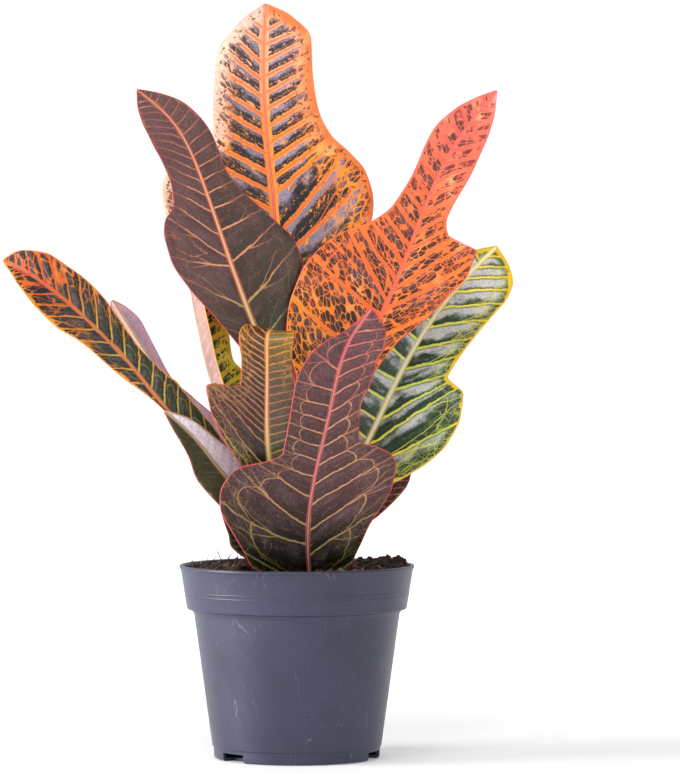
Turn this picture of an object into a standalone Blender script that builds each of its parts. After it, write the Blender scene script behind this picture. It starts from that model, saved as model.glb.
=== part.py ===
"""Potted croton: a young leafy shoot in a 12 cm nursery pot.

Frame: metres, +Z up. The origin is the middle of the pot's underside, on the pot's axis,
-Y is the front, and +X is to the right when seen from the front.
Every leaf is one piece with its stalk. All sizes below are in millimetres and degrees.
"""

import math

import bmesh
import bpy
import numpy as np

MM = 0.001
GAP = 0.3

# Pot
POT_HEIGHT = 98.5
RIM_RADIUS = 60.0
LIP = 0.7
BAND_HEIGHT = 22.5
BAND_FOOT_RADIUS = 56.2
BODY_TOP_RADIUS = 52.5
BASE_RADIUS = 42.3
FOOT_HEIGHT = 6.0
FOOT_STEP = 0.5
WALL = 1.2
FLOOR = 1.6
FOOT_CORNER = 1.0
LIP_HEIGHT = 2.0
SMALL_STEP = 0.6
SHARP_ANGLE = 35
POT_SIDES = 72
NOTCH_HEIGHT = 4.3
NOTCH_WIDTH = 16.0
NOTCH_REACH = 9.0
NOTCH_ANGLES = (-20.0, -140.0, 100.0)

# Potting soil and root ball
SOIL_TOP = 95.3
SOIL_SIDES = 48
HOLLOW_CENTRE = (3.0, -20.0)
HOLLOW_FLOOR_RADIUS = 21.0
HOLLOW_EDGE_RADIUS = 36.0
HOLLOW_DEPTH = 15.5
SOCKET_DEPTH = 30.0
SOCKET_CLEARANCE = 0.5
HEAP_CENTRE = (42.0, 14.0)
HEAP_HEIGHT = 2.2
HEAP_SPREAD = 16.0
RIPPLE_HEIGHT = 0.5
TOP_RADII = (50, 43, 36, 29, 22, 15, 10)
BOTTOM_CHAMFER = 1.5
CORNER_CLEARANCE = 0.6

# Stem
STEM_RADIUS = 4.6
STEM_TOP_RADIUS = 3.4
STEM_TOP = 186.0
STEM_SIDES = 12
STEM_RINGS = 16

# Leaves
BLADE_ROWS = 20
STALK_ROWS = 5
ACROSS = np.array([-1.0, -0.5, 0.0, 0.5, 1.0])
EDGE_THICKNESS = 0.8
BLADE_THICKNESS = 1.1
RIB_THICKNESS = 2.4
STALK_HALF_WIDTH = 1.6
STALK_EDGE = 0.3
STALK_ABOVE = 1.0
STALK_BELOW = 1.4
TIP_THINNING = 4
VEIN_SWEEP = 0.45
SPINE_SAMPLES = 240

# Each leaf: its spine from the stem to the tip, the share of the spine that is bare stalk,
# half-widths (left and right) at shares of the blade, which way the upper face looks along
# the spine, and how far the left and the right half fold up from flat between the blade's
# base and its tip. Left and right are seen from above the upper face with the tip up.
LEAVES = {
    "leaf_top_back": dict(
        colour="orange",
        spine=[(0, 5, 183), (-4, 20, 206), (-9, 35, 235), (-12, 49, 277), (-16, 60, 318),
               (-18, 67, 350), (-17, 72, 389)],
        stalk=0.2,
        left=[(0, 2), (0.07, 36), (0.18, 57), (0.3, 58), (0.41, 50), (0.53, 29), (0.64, 27),
              (0.77, 25), (0.9, 14), (1, 0.5)],
        right=[(0, 2), (0.07, 32), (0.15, 49), (0.24, 52.5), (0.32, 50), (0.4, 43), (0.5, 33),
               (0.6, 28), (0.72, 26), (0.83, 25), (0.93, 14), (1, 0.5)],
        face=[(0, -1, 0.3), (0, -1, 0.2)],
        fold=[(10, 10), (8, 8), (8, 8)],
    ),
    "leaf_upper_left": dict(
        colour="purple",
        spine=[(-5, 3, 171), (-10, 7, 190), (-18, 14, 210), (-32, 21, 246), (-48, 25, 292),
               (-65, 22, 326), (-82, 16, 341)],
        stalk=0.12,
        left=[(0, 3), (0.1, 11), (0.2, 18), (0.29, 25.5), (0.37, 29.5), (0.44, 29), (0.5, 26),
              (0.56, 19), (0.65, 16), (0.76, 16), (0.86, 13.5), (0.94, 8), (1, 0.5)],
        right=[(0, 3), (0.07, 11), (0.13, 19), (0.175, 29), (0.23, 35.5), (0.3, 35), (0.37, 30.5),
               (0.46, 23.5), (0.55, 17), (0.63, 13.5), (0.73, 14), (0.83, 11.5), (0.91, 7), (1, 0.5)],
        face=[(0.1, -1, 0.1), (0.1, -1, 0)],
        fold=[(10, 2), (10, 5), (8, 8)],
    ),
    "leaf_upper_right": dict(
        colour="red",
        spine=[(6, 0, 147), (13, 3, 162), (26, 7, 190), (44, 11, 227), (57, 13, 258),
               (74, 13, 300), (86, 10, 320), (102, 5, 340)],
        stalk=0.09,
        left=[(0, 3), (0.05, 26), (0.12, 42), (0.19, 46.5), (0.26, 47), (0.33, 44), (0.43, 35),
              (0.52, 22), (0.59, 15.5), (0.69, 12.5), (0.79, 14), (0.87, 11), (0.94, 6), (1, 0.5)],
        right=[(0, 3), (0.12, 8), (0.26, 14), (0.33, 23.5), (0.38, 29), (0.44, 35), (0.5, 35),
               (0.53, 26), (0.56, 17), (0.61, 13.5), (0.73, 15.5), (0.84, 13), (0.92, 8.5), (1, 0.5)],
        face=[(-0.12, -1, 0), (-0.05, -1, 0)],
        fold=[(4, 10), (6, 18), (10, 14)],
    ),
    "leaf_front": dict(
        colour="purple",
        spine=[(1, -7, 83), (6, -20, 86), (6, -27, 103), (9, -31, 143), (17, -30, 178),
               (27, -25, 213), (38, -21, 229)],
        stalk=0.09,
        left=[(0, 3), (0.02, 28), (0.06, 33), (0.09, 38), (0.13, 45), (0.17, 46), (0.21, 44),
              (0.26, 39.5), (0.31, 31), (0.35, 24), (0.4, 18.5), (0.53, 19.5), (0.62, 20),
              (0.7, 18), (0.79, 12), (0.87, 5), (0.94, 2), (1, 0.5)],
        right=[(0, 3), (0.02, 20.5), (0.06, 24.5), (0.1, 27.5), (0.16, 31), (0.235, 36.5), (0.3, 39.5),
               (0.37, 39.5), (0.42, 36), (0.46, 28), (0.49, 19), (0.52, 17), (0.61, 15),
               (0.7, 17.5), (0.84, 17.5), (0.925, 13), (0.965, 7), (1, 0.5)],
        face=[(0, -1, 0.3), (0, -1, 0), (0, -1, 0)],
        fold=[(5, 5), (8, 8), (8, 8)],
    ),
    "leaf_front_small": dict(
        colour="purple",
        spine=[(-3, -7, 124), (-10, -14, 137), (-14, -18, 154), (-15, -19, 183), (-15, -17, 206),
               (-14, -12, 217), (-11, -5, 217), (-8, -1, 209)],
        stalk=0.1,
        left=[(0, 3), (0.08, 10), (0.15, 16), (0.24, 24), (0.3, 28), (0.36, 30), (0.42, 31),
              (0.455, 27), (0.48, 18), (0.51, 13.5), (0.63, 13), (0.73, 14.5), (0.82, 12),
              (0.9, 8), (1, 0.5)],
        right=[(0, 3), (0.08, 10), (0.2, 20), (0.3, 25), (0.38, 26), (0.44, 20), (0.5, 14),
               (0.65, 13), (0.74, 14), (0.84, 12), (0.92, 8), (1, 0.5)],
        face=[(0, -1, 0.2), (0, -1, 0), (0, -1, 0), (0, -1, 0.3), (0, 0.6, 1)],
        fold=[(8, 8), (8, 8), (0, 0)],
    ),
    "leaf_left_long": dict(
        colour="green",
        spine=[(-7, -2, 133), (-18, -4, 141), (-35, -6, 151), (-54, -9, 166), (-66, -11, 178),
               (-84, -13, 200), (-103, -14, 220), (-122, -14, 237), (-140, -12, 249), (-149, -10, 253)],
        stalk=0.12,
        left=[(0, 2), (0.15, 3.5), (0.3, 2.5), (0.38, 4), (0.45, 8), (0.53, 11.5), (0.62, 13),
              (0.7, 15.5), (0.78, 15), (0.88, 10.5), (0.95, 4.5), (1, 0.5)],
        right=[(0, 3), (0.1, 8), (0.16, 12), (0.25, 14.5), (0.31, 14.5), (0.37, 12), (0.45, 10.5),
               (0.56, 13), (0.65, 15.5), (0.75, 17), (0.84, 16.5), (0.9, 13), (0.955, 8), (1, 0.5)],
        face=[(0.44, -0.77, 0.46), (0.44, -0.77, 0.46)],
        fold=[(0, 12), (0, 12), (0, 12)],
    ),
    "leaf_left_low": dict(
        colour="green",
        spine=[(-5, -6, 115), (-15, -8, 123), (-26, -11, 133), (-39, -13, 147), (-51, -14, 162),
               (-67, -14, 177)],
        stalk=0.14,
        left=[(0, 2), (0.2, 14), (0.4, 14), (0.6, 10), (0.8, 6), (1, 0.5)],
        right=[(0, 2), (0.2, 12), (0.4, 12), (0.6, 9), (0.8, 6), (1, 0.5)],
        face=[(0.2, -1, 0.3), (0.2, -1, 0.3)],
        fold=[(15, 15), (15, 15), (10, 10)],
    ),
    "leaf_left_behind": dict(
        colour="green",
        spine=[(-5, 3, 141), (-24, 6, 146), (-45, 9, 162), (-62, 11, 182), (-78, 12, 206),
               (-95, 12, 233)],
        stalk=0.14,
        left=[(0, 2), (0.25, 12), (0.4, 9), (0.55, 5), (0.7, 7), (0.82, 8), (0.92, 5), (1, 0.5)],
        right=[(0, 2), (0.25, 12), (0.5, 7), (0.8, 8), (0.92, 5), (1, 0.5)],
        face=[(-0.3, 1, -0.2), (-0.3, 1, -0.2)],
        fold=[(10, 10), (10, 10), (10, 10)],
    ),
    "leaf_back_left": dict(
        colour="green",
        spine=[(-4, 5, 148), (-22, 12, 158), (-38, 20, 178), (-44, 23, 192), (-50, 27, 215),
               (-55, 30, 240), (-57, 31, 255)],
        stalk=0.12,
        left=[(0, 2), (0.2, 8), (0.5, 8), (0.8, 7), (1, 0.5)],
        right=[(0, 3), (0.1, 14), (0.2, 20), (0.3, 20), (0.38, 16), (0.45, 13.5), (0.6, 15),
               (0.75, 15), (0.88, 9), (1, 0.5)],
        face=[(0.2, -1, 0), (0.2, -1, 0)],
        fold=[(100, 5), (125, 5), (125, 5)],
    ),
    "leaf_right": dict(
        colour="green",
        spine=[(5, 4, 127), (17, 9, 133), (28, 15, 146), (39, 20, 166), (52, 25, 193),
               (69, 29, 222), (89, 30, 247), (103, 28, 261)],
        stalk=0.12,
        left=[(0, 3), (0.06, 25), (0.15, 33), (0.25, 34), (0.33, 30), (0.42, 22), (0.5, 17),
              (0.65, 17), (0.8, 14), (0.9, 8), (1, 0.5)],
        right=[(0, 3), (0.04, 22), (0.08, 29), (0.12, 34.5), (0.175, 38.5), (0.25, 39.5), (0.32, 37.5),
               (0.39, 34), (0.42, 28), (0.45, 23), (0.65, 24), (0.8, 24.5), (0.88, 21.5),
               (0.94, 14), (1, 0.5)],
        face=[(-0.05, -1, 0.1), (-0.1, -1, 0.1)],
        fold=[(10, 10), (10, 10), (10, 10)],
    ),
    "leaf_low_left": dict(
        colour="green",
        spine=[(-4, -6, 100), (-14, -15, 106), (-24, -21, 114), (-33, -23, 128), (-37, -21, 139)],
        stalk=0.14,
        left=[(0, 2), (0.15, 9.5), (0.37, 11), (0.5, 8), (0.75, 5), (1, 0.5)],
        right=[(0, 2), (0.3, 9), (0.6, 8), (1, 0.5)],
        face=[(0, -1, 0.2), (0, -1, 0.2)],
        fold=[(15, 15), (15, 15), (10, 10)],
    ),
    "leaf_low_right": dict(
        colour="purple",
        spine=[(4, 5, 109), (17, 12, 113), (35, 22, 124), (50, 28, 140), (61, 30, 158)],
        stalk=0.14,
        left=[(0, 2), (0.3, 14), (0.5, 14), (0.8, 8), (1, 0.5)],
        right=[(0, 2), (0.3, 6), (0.5, 7), (0.65, 7.5), (0.8, 5), (1, 0.5)],
        face=[(0, -1, 0.2), (0, -1, 0.2)],
        fold=[(15, 15), (15, 15), (10, 10)],
    ),
    "leaf_back_right": dict(
        colour="green",
        spine=[(4, 7, 158), (10, 20, 168), (20, 44, 194), (28, 64, 232), (32, 76, 266)],
        stalk=0.18,
        left=[(0, 3), (0.12, 16), (0.25, 24), (0.38, 21), (0.5, 14), (0.75, 13), (0.92, 6), (1, 0.5)],
        right=[(0, 3), (0.12, 17), (0.25, 23), (0.36, 22), (0.5, 14), (0.75, 12), (0.92, 6), (1, 0.5)],
        face=[(-0.3, -0.7, 1), (-0.3, -1, 0.4)],
        fold=[(15, 15), (12, 12), (10, 10)],
    ),
    "leaf_back_low": dict(
        colour="purple",
        spine=[(-2, 8, 116), (-6, 24, 122), (-12, 46, 142), (-16, 60, 167), (-17, 66, 189)],
        stalk=0.16,
        left=[(0, 3), (0.15, 13), (0.3, 17), (0.45, 13), (0.6, 11), (0.85, 7), (1, 0.5)],
        right=[(0, 3), (0.15, 12), (0.3, 16), (0.45, 14), (0.6, 11), (0.85, 7), (1, 0.5)],
        face=[(0.2, -0.6, 1), (0.2, -1, 0.3)],
        fold=[(15, 15), (12, 12), (10, 10)],
    ),
}


def natural_spline(knots, values, places):
    """Natural cubic spline through values at knots, read at places."""
    count = len(knots)
    gap = np.diff(knots)
    slope = np.diff(values, axis=0) / gap[:, None]
    matrix = np.eye(count)
    pull = np.zeros_like(values)
    for i in range(1, count - 1):
        matrix[i, i - 1:i + 2] = gap[i - 1], 2 * (gap[i - 1] + gap[i]), gap[i]
        pull[i] = 6 * (slope[i] - slope[i - 1])
    bend = np.linalg.solve(matrix, pull)
    i = np.clip(np.searchsorted(knots, places) - 1, 0, count - 2)
    wide = gap[i][:, None]
    right = (places - knots[i])[:, None] / wide
    left = 1 - right
    curve = (left ** 3 - left) * bend[i] + (right ** 3 - right) * bend[i + 1]
    return left * values[i] + right * values[i + 1] + curve * wide ** 2 / 6


def hermite(knots, values, places):
    """Smooth curve through values at knots that doesn't overshoot between them."""
    gap = np.diff(knots)
    slope = np.diff(values) / gap
    tangent = np.zeros(len(knots))
    tangent[0], tangent[-1] = slope[0], slope[-1]
    for i in range(1, len(knots) - 1):
        if slope[i - 1] * slope[i] > 0:
            tangent[i] = 2 * slope[i - 1] * slope[i] / (slope[i - 1] + slope[i])
    i = np.clip(np.searchsorted(knots, places) - 1, 0, len(knots) - 2)
    t = (places - knots[i]) / gap[i]
    ends = values[i] * (1 + 2 * t) * (1 - t) ** 2 + values[i + 1] * t ** 2 * (3 - 2 * t)
    pulls = tangent[i] * t * (1 - t) ** 2 - tangent[i + 1] * t ** 2 * (1 - t)
    return ends + pulls * gap[i]


def evenly(count):
    return np.linspace(0.0, 1.0, count)


def unit(vectors):
    return vectors / np.linalg.norm(vectors, axis=-1, keepdims=True)


class Spine:
    """A leaf's spine with the sideways and the face direction at any distance along it."""

    def __init__(self, points, face):
        points = np.array(points, float)
        knots = np.concatenate([[0], np.cumsum(np.linalg.norm(np.diff(points, axis=0), axis=1))])
        places = evenly(SPINE_SAMPLES) * knots[-1]
        self.points = natural_spline(knots, points, places)
        steps = np.linalg.norm(np.diff(self.points, axis=0), axis=1)
        self.places = np.concatenate([[0], np.cumsum(steps)])
        self.length = self.places[-1]
        ahead = unit(np.gradient(self.points, self.places, axis=0))
        face = np.array(face, float)
        knots = evenly(len(face)) * self.length
        looks = np.stack([hermite(knots, face[:, k], self.places) for k in range(3)], axis=1)
        self.side = unit(np.cross(ahead, looks))
        self.face = np.cross(self.side, ahead)

    def read(self, table, places):
        return np.stack([np.interp(places, self.places, table[:, k]) for k in range(3)], axis=-1)


def leaf_surface(spine, leaf, shares, halves, across):
    """Points of the blade's middle surface and its face directions.

    Row by row, a point lies its half-width times `across` out from the spine, folded up by
    the row's angle, and forward by the sweep, so that a row follows a side vein.
    """
    blade_start = leaf["stalk"] * spine.length
    angles = np.radians(np.array(leaf["fold"], float))
    knots = evenly(len(angles))
    left = hermite(knots, angles[:, 0], shares)[:, None]
    right = hermite(knots, angles[:, 1], shares)[:, None]
    out = np.where(across < 0, halves[:, :1], halves[:, 1:]) * across
    foot = blade_start + shares * (spine.length - blade_start)
    along = np.minimum(foot[:, None] + VEIN_SWEEP * np.abs(out), spine.length)
    angle = np.where(across < 0, left, right)
    side = spine.read(spine.side, along)
    face = spine.read(spine.face, along)
    level = out * np.cos(angle)
    lift = np.abs(out) * np.sin(angle)
    middle = spine.read(spine.points, along) + side * level[..., None] + face * lift[..., None]
    turn = np.sign(across) * np.sin(angle)
    normal = unit(face * np.cos(angle)[..., None] - side * turn[..., None])
    return middle, normal


def leaf_rows(leaf):
    """Upper and lower points of every cross-section of a leaf, stalk and blade."""
    spine = Spine(leaf["spine"], leaf["face"])
    shares = evenly(BLADE_ROWS)
    left, right = (np.array(leaf[half], float) for half in ("left", "right"))
    halves = [hermite(half[:, 0], half[:, 1], shares) for half in (left, right)]
    middle, normal = leaf_surface(spine, leaf, shares, np.stack(halves, axis=1), ACROSS)
    depth = np.full(len(ACROSS), BLADE_THICKNESS)
    depth[ACROSS == 0] = RIB_THICKNESS
    depth[np.abs(ACROSS) == 1] = EDGE_THICKNESS
    fade = np.minimum(1.0, (1 - shares) * TIP_THINNING)[:, None]
    depth = EDGE_THICKNESS + (depth - EDGE_THICKNESS) * fade
    top = middle + normal * EDGE_THICKNESS / 2
    bottom = top - normal * depth[..., None]

    places = evenly(STALK_ROWS + 1)[:-1] * leaf["stalk"] * spine.length
    core = spine.read(spine.points, places)[:, None, :]
    side = spine.read(spine.side, places)[:, None, :]
    face = spine.read(spine.face, places)[:, None, :]
    bulge = (1 - ACROSS ** 2)[:, None]
    wide = core + side * STALK_HALF_WIDTH * ACROSS[:, None]
    stalk_top = wide + face * (STALK_EDGE + bulge * STALK_ABOVE)
    stalk_bottom = wide - face * (STALK_EDGE + bulge * STALK_BELOW)
    return np.concatenate([stalk_top, top]), np.concatenate([stalk_bottom, bottom])


def new_object(name, mesh_data, colour, roughness):
    """Link a mesh into the scene as one sub-part with its own material."""
    material = bpy.data.materials.new(name)
    material.use_nodes = True
    shader = material.node_tree.nodes["Principled BSDF"]
    shader.inputs["Base Color"].default_value = (*colour, 1.0)
    shader.inputs["Roughness"].default_value = roughness
    mesh_data.materials.append(material)
    part = bpy.data.objects.new(name, mesh_data)
    bpy.context.scene.collection.objects.link(part)
    return part


def closed_tube(name, rings):
    """Mesh of a tube through rings of equal length, with both ends capped."""
    form = bmesh.new()
    rows = []
    for ring in rings:
        rows.append([form.verts.new(tuple(float(c) * MM for c in point)) for point in ring])
    for lower, upper in zip(rows, rows[1:]):
        for k in range(len(lower)):
            following = (k + 1) % len(lower)
            form.faces.new((lower[k], lower[following], upper[following], upper[k]))
    form.faces.new(list(reversed(rows[0])))
    form.faces.new(rows[-1])
    bmesh.ops.recalc_face_normals(form, faces=form.faces)
    mesh_data = bpy.data.meshes.new(name)
    form.to_mesh(mesh_data)
    form.free()
    mesh_data.shade_smooth()
    return mesh_data


COLOURS = {
    "orange": (0.78, 0.24, 0.05),
    "red": (0.72, 0.14, 0.08),
    "purple": (0.13, 0.06, 0.07),
    "green": (0.05, 0.12, 0.05),
}


def make_leaf(name, leaf):
    top, bottom = leaf_rows(leaf)
    rings = np.concatenate([top, bottom[:, ::-1]], axis=1)
    return new_object(name, closed_tube(name, rings), COLOURS[leaf["colour"]], 0.4)


def turned(name, outline, sides):
    """Mesh turned about Z from a closed outline of (radius, height) points on or off the axis."""
    form = bmesh.new()
    verts = [form.verts.new((r * MM, 0.0, z * MM)) for r, z in outline]
    edges = [form.edges.new((a, b)) for a, b in zip(verts, verts[1:])]
    bmesh.ops.spin(form, geom=verts + edges, cent=(0, 0, 0), axis=(0, 0, 1),
                   angle=math.tau, steps=sides, use_merge=True)
    bmesh.ops.remove_doubles(form, verts=form.verts, dist=0.00001)
    bmesh.ops.recalc_face_normals(form, faces=form.faces)
    mesh_data = bpy.data.meshes.new(name)
    form.to_mesh(mesh_data)
    form.free()
    mesh_data.shade_smooth()
    mesh_data.set_sharp_from_angle(angle=math.radians(SHARP_ANGLE))
    return mesh_data


def pot_outline():
    """Half section of the pot: up the outside, over the rim and down the inside."""
    band_foot = POT_HEIGHT - BAND_HEIGHT
    outside = [
        (0, 0),
        (BASE_RADIUS - FOOT_CORNER, 0),
        (BASE_RADIUS, FOOT_CORNER),
        (BASE_RADIUS + FOOT_STEP / 2, FOOT_HEIGHT),
        (BASE_RADIUS + FOOT_STEP + 0.3, FOOT_HEIGHT + SMALL_STEP),
        (BODY_TOP_RADIUS, band_foot - LIP_HEIGHT),
        (BODY_TOP_RADIUS + 1, band_foot - SMALL_STEP),
        (BAND_FOOT_RADIUS - SMALL_STEP, band_foot),
        (BAND_FOOT_RADIUS, band_foot + SMALL_STEP),
        (RIM_RADIUS - LIP, POT_HEIGHT - LIP_HEIGHT),
        (RIM_RADIUS, POT_HEIGHT - LIP_HEIGHT + LIP),
        (RIM_RADIUS - 0.2, POT_HEIGHT - 0.2),
        (RIM_RADIUS - 0.8, POT_HEIGHT),
    ]
    inside = [
        (RIM_RADIUS - LIP - WALL, POT_HEIGHT - SMALL_STEP),
        (BAND_FOOT_RADIUS - WALL, band_foot + WALL),
        (BODY_TOP_RADIUS - WALL, band_foot),
        (BASE_RADIUS + FOOT_STEP - WALL, FOOT_HEIGHT + SMALL_STEP),
        (BASE_RADIUS - FOOT_STEP - WALL, FLOOR),
        (0, FLOOR),
    ]
    return outside + inside


def make_pot():
    pot = new_object("pot", turned("pot", pot_outline(), POT_SIDES), (0.10, 0.11, 0.16), 0.5)
    for angle in NOTCH_ANGLES:
        turn = math.radians(angle)
        reach = BASE_RADIUS - NOTCH_REACH / 2 + 2
        bpy.ops.mesh.primitive_cube_add(size=1)
        cutter = bpy.context.object
        cutter.name = f"notch_cutter_{NOTCH_ANGLES.index(angle)}"
        cutter.scale = (NOTCH_REACH * MM, NOTCH_WIDTH * MM, NOTCH_HEIGHT * 2 * MM)
        cutter.rotation_euler = (0, 0, turn)
        cutter.location = (reach * math.cos(turn) * MM, reach * math.sin(turn) * MM, 0)
        cutter.hide_render = True
        cutter.display_type = "WIRE"
        cut = pot.modifiers.new("drain_notch", "BOOLEAN")
        cut.operation = "DIFFERENCE"
        cut.solver = "EXACT"
        cut.object = cutter
    return pot


def soil_height(x, y):
    """Level soil with a shallow hollow round the foot of the plant, heaped at the back right."""
    r = np.hypot(x - HOLLOW_CENTRE[0], y - HOLLOW_CENTRE[1])
    t = np.clip((r - HOLLOW_FLOOR_RADIUS) / (HOLLOW_EDGE_RADIUS - HOLLOW_FLOOR_RADIUS), 0, 1)
    away = (x - HEAP_CENTRE[0]) ** 2 + (y - HEAP_CENTRE[1]) ** 2
    heap = HEAP_HEIGHT * np.exp(-away / HEAP_SPREAD ** 2)
    ripple = RIPPLE_HEIGHT * np.sin(x * 0.31 + 1.1) * np.sin(y * 0.27 + 0.4)
    return SOIL_TOP - HOLLOW_DEPTH * (1 - t * t * (3 - 2 * t)) + heap + ripple


def make_soil():
    """Root ball that fills the pot, with a blind socket where the stem stands."""
    band_foot = POT_HEIGHT - BAND_HEIGHT
    wall = WALL + GAP
    turns = np.arange(SOIL_SIDES) * math.tau / SOIL_SIDES

    def ring(radius, height):
        x, y = radius * np.cos(turns), radius * np.sin(turns)
        return np.stack([x, y, np.full_like(x, height)], axis=1)

    def top_ring(radius):
        x, y = radius * np.cos(turns), radius * np.sin(turns)
        return np.stack([x, y, soil_height(x, y)], axis=1)

    slope = (RIM_RADIUS - LIP - BAND_FOOT_RADIUS) / BAND_HEIGHT
    edge = BAND_FOOT_RADIUS - wall + slope * (SOIL_TOP - band_foot) - CORNER_CLEARANCE
    socket = STEM_RADIUS + SOCKET_CLEARANCE
    socket_mouth = SOIL_TOP - HOLLOW_DEPTH - 4
    rings = [
        ring(BASE_RADIUS - NOTCH_REACH + BOTTOM_CHAMFER, NOTCH_HEIGHT + GAP + 0.8),
        ring(BASE_RADIUS - wall + GAP, FOOT_HEIGHT + 2.5),
        ring(BODY_TOP_RADIUS - wall - 0.4, band_foot + SMALL_STEP),
        ring(BAND_FOOT_RADIUS - wall - CORNER_CLEARANCE, band_foot + WALL + 2.5),
    ]
    rings += [top_ring(r) for r in (edge, *TOP_RADII, socket + CORNER_CLEARANCE)]
    rings += [ring(socket, socket_mouth)]
    rings += [ring(socket, SOIL_TOP - HOLLOW_DEPTH - SOCKET_DEPTH)]
    return new_object("potting_soil", closed_tube("potting_soil", rings), (0.05, 0.03, 0.025), 0.95)


def make_stem():
    """Upright woody stem that tapers from the socket in the soil to the topmost leaf."""
    foot = SOIL_TOP - HOLLOW_DEPTH - SOCKET_DEPTH + GAP
    heights = np.linspace(foot, STEM_TOP, STEM_RINGS)
    turns = np.arange(STEM_SIDES) * math.tau / STEM_SIDES
    rings = []
    for height in heights:
        share = (height - foot) / (STEM_TOP - foot)
        radius = STEM_RADIUS + (STEM_TOP_RADIUS - STEM_RADIUS) * share
        level = np.full_like(turns, height)
        rings.append(np.stack([radius * np.cos(turns), radius * np.sin(turns), level], axis=1))
    return new_object("stem", closed_tube("stem", rings), (0.16, 0.13, 0.07), 0.8)


def main():
    for old in list(bpy.data.objects):
        bpy.data.objects.remove(old, do_unlink=True)
    make_pot()
    make_soil()
    make_stem()
    for name, leaf in LEAVES.items():
        make_leaf(name, leaf)


main()
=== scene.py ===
"""Looks of a potted croton: fine leaves, stem, potting soil and nursery pot round the fixed frame.

Sizes are in millimetres until a mesh is made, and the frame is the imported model's own.
"""

import math

import bpy
import numpy as np
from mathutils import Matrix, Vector


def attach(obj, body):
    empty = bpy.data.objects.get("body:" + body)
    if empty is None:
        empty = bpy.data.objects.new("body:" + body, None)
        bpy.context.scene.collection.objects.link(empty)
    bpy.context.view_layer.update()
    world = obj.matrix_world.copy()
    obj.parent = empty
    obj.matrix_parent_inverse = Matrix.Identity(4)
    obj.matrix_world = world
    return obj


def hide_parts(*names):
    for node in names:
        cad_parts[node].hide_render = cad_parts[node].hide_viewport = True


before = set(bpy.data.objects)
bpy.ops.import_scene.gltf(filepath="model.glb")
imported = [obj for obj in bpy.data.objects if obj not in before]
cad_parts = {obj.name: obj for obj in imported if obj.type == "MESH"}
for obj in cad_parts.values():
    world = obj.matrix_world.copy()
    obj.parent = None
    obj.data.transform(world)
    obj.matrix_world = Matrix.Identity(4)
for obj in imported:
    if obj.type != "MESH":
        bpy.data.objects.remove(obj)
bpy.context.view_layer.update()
MM = 0.001
RANDOM = np.random.default_rng(41)


# ---------------------------------------------------------------------------------------
# Curves and small array helpers
# ---------------------------------------------------------------------------------------

def natural_spline(knots, values, places):
    """Natural cubic spline through values at knots, read at places.

    Its second derivatives solve the usual three-term equations, and are zero at both ends.
    """
    count = len(knots)
    gap = np.diff(knots)
    slope = np.diff(values, axis=0) / gap[:, None]
    matrix = np.eye(count)
    pull = np.zeros_like(values)
    for i in range(1, count - 1):
        matrix[i, i - 1:i + 2] = gap[i - 1], 2 * (gap[i - 1] + gap[i]), gap[i]
        pull[i] = 6 * (slope[i] - slope[i - 1])
    bend = np.linalg.solve(matrix, pull)
    i = np.clip(np.searchsorted(knots, places) - 1, 0, count - 2)
    wide = gap[i][:, None]
    right = (places - knots[i])[:, None] / wide
    left = 1 - right
    curve = (left ** 3 - left) * bend[i] + (right ** 3 - right) * bend[i + 1]
    return left * values[i] + right * values[i + 1] + curve * wide ** 2 / 6


def hermite(knots, values, places):
    """Smooth curve through values at knots; its slope at a knot is the harmonic mean of the
    slopes on both sides, or zero where they differ in sign, so it doesn't overshoot."""
    knots, values = np.asarray(knots, float), np.asarray(values, float)
    gap = np.diff(knots)
    slope = np.diff(values) / gap
    tangent = np.zeros(len(knots))
    tangent[0], tangent[-1] = slope[0], slope[-1]
    for i in range(1, len(knots) - 1):
        if slope[i - 1] * slope[i] > 0:
            tangent[i] = 2 * slope[i - 1] * slope[i] / (slope[i - 1] + slope[i])
    i = np.clip(np.searchsorted(knots, places) - 1, 0, len(knots) - 2)
    t = (places - knots[i]) / gap[i]
    ends = values[i] * (1 + 2 * t) * (1 - t) ** 2 + values[i + 1] * t ** 2 * (3 - 2 * t)
    pulls = tangent[i] * t * (1 - t) ** 2 - tangent[i + 1] * t ** 2 * (1 - t)
    return ends + pulls * gap[i]


def evenly(count):
    """Shares from 0 to 1, count of them, equally far apart."""
    return np.linspace(0.0, 1.0, count)


def unit(vectors):
    """Each vector of the last axis over its own length."""
    return vectors / np.linalg.norm(vectors, axis=-1, keepdims=True)


def step(low, high, values):
    """Smooth step from 0 at low to 1 at high."""
    t = np.clip((values - low) / (high - low), 0, 1)
    return t * t * (3 - 2 * t)


def stand_for(piece, node):
    """The piece is shown in place of a node of the frame, which is hidden."""
    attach(piece, "root")
    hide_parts(node)


def linear(red, green, blue):
    """Display colour, 0 to 255 for each channel, as the scene-linear colour that shaders take."""
    colour = np.array([red, green, blue]) / 255
    return tuple(np.where(colour <= 0.04045, colour / 12.92, ((colour + 0.055) / 1.055) ** 2.4))


# ---------------------------------------------------------------------------------------
# Shader expressions
# ---------------------------------------------------------------------------------------

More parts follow.
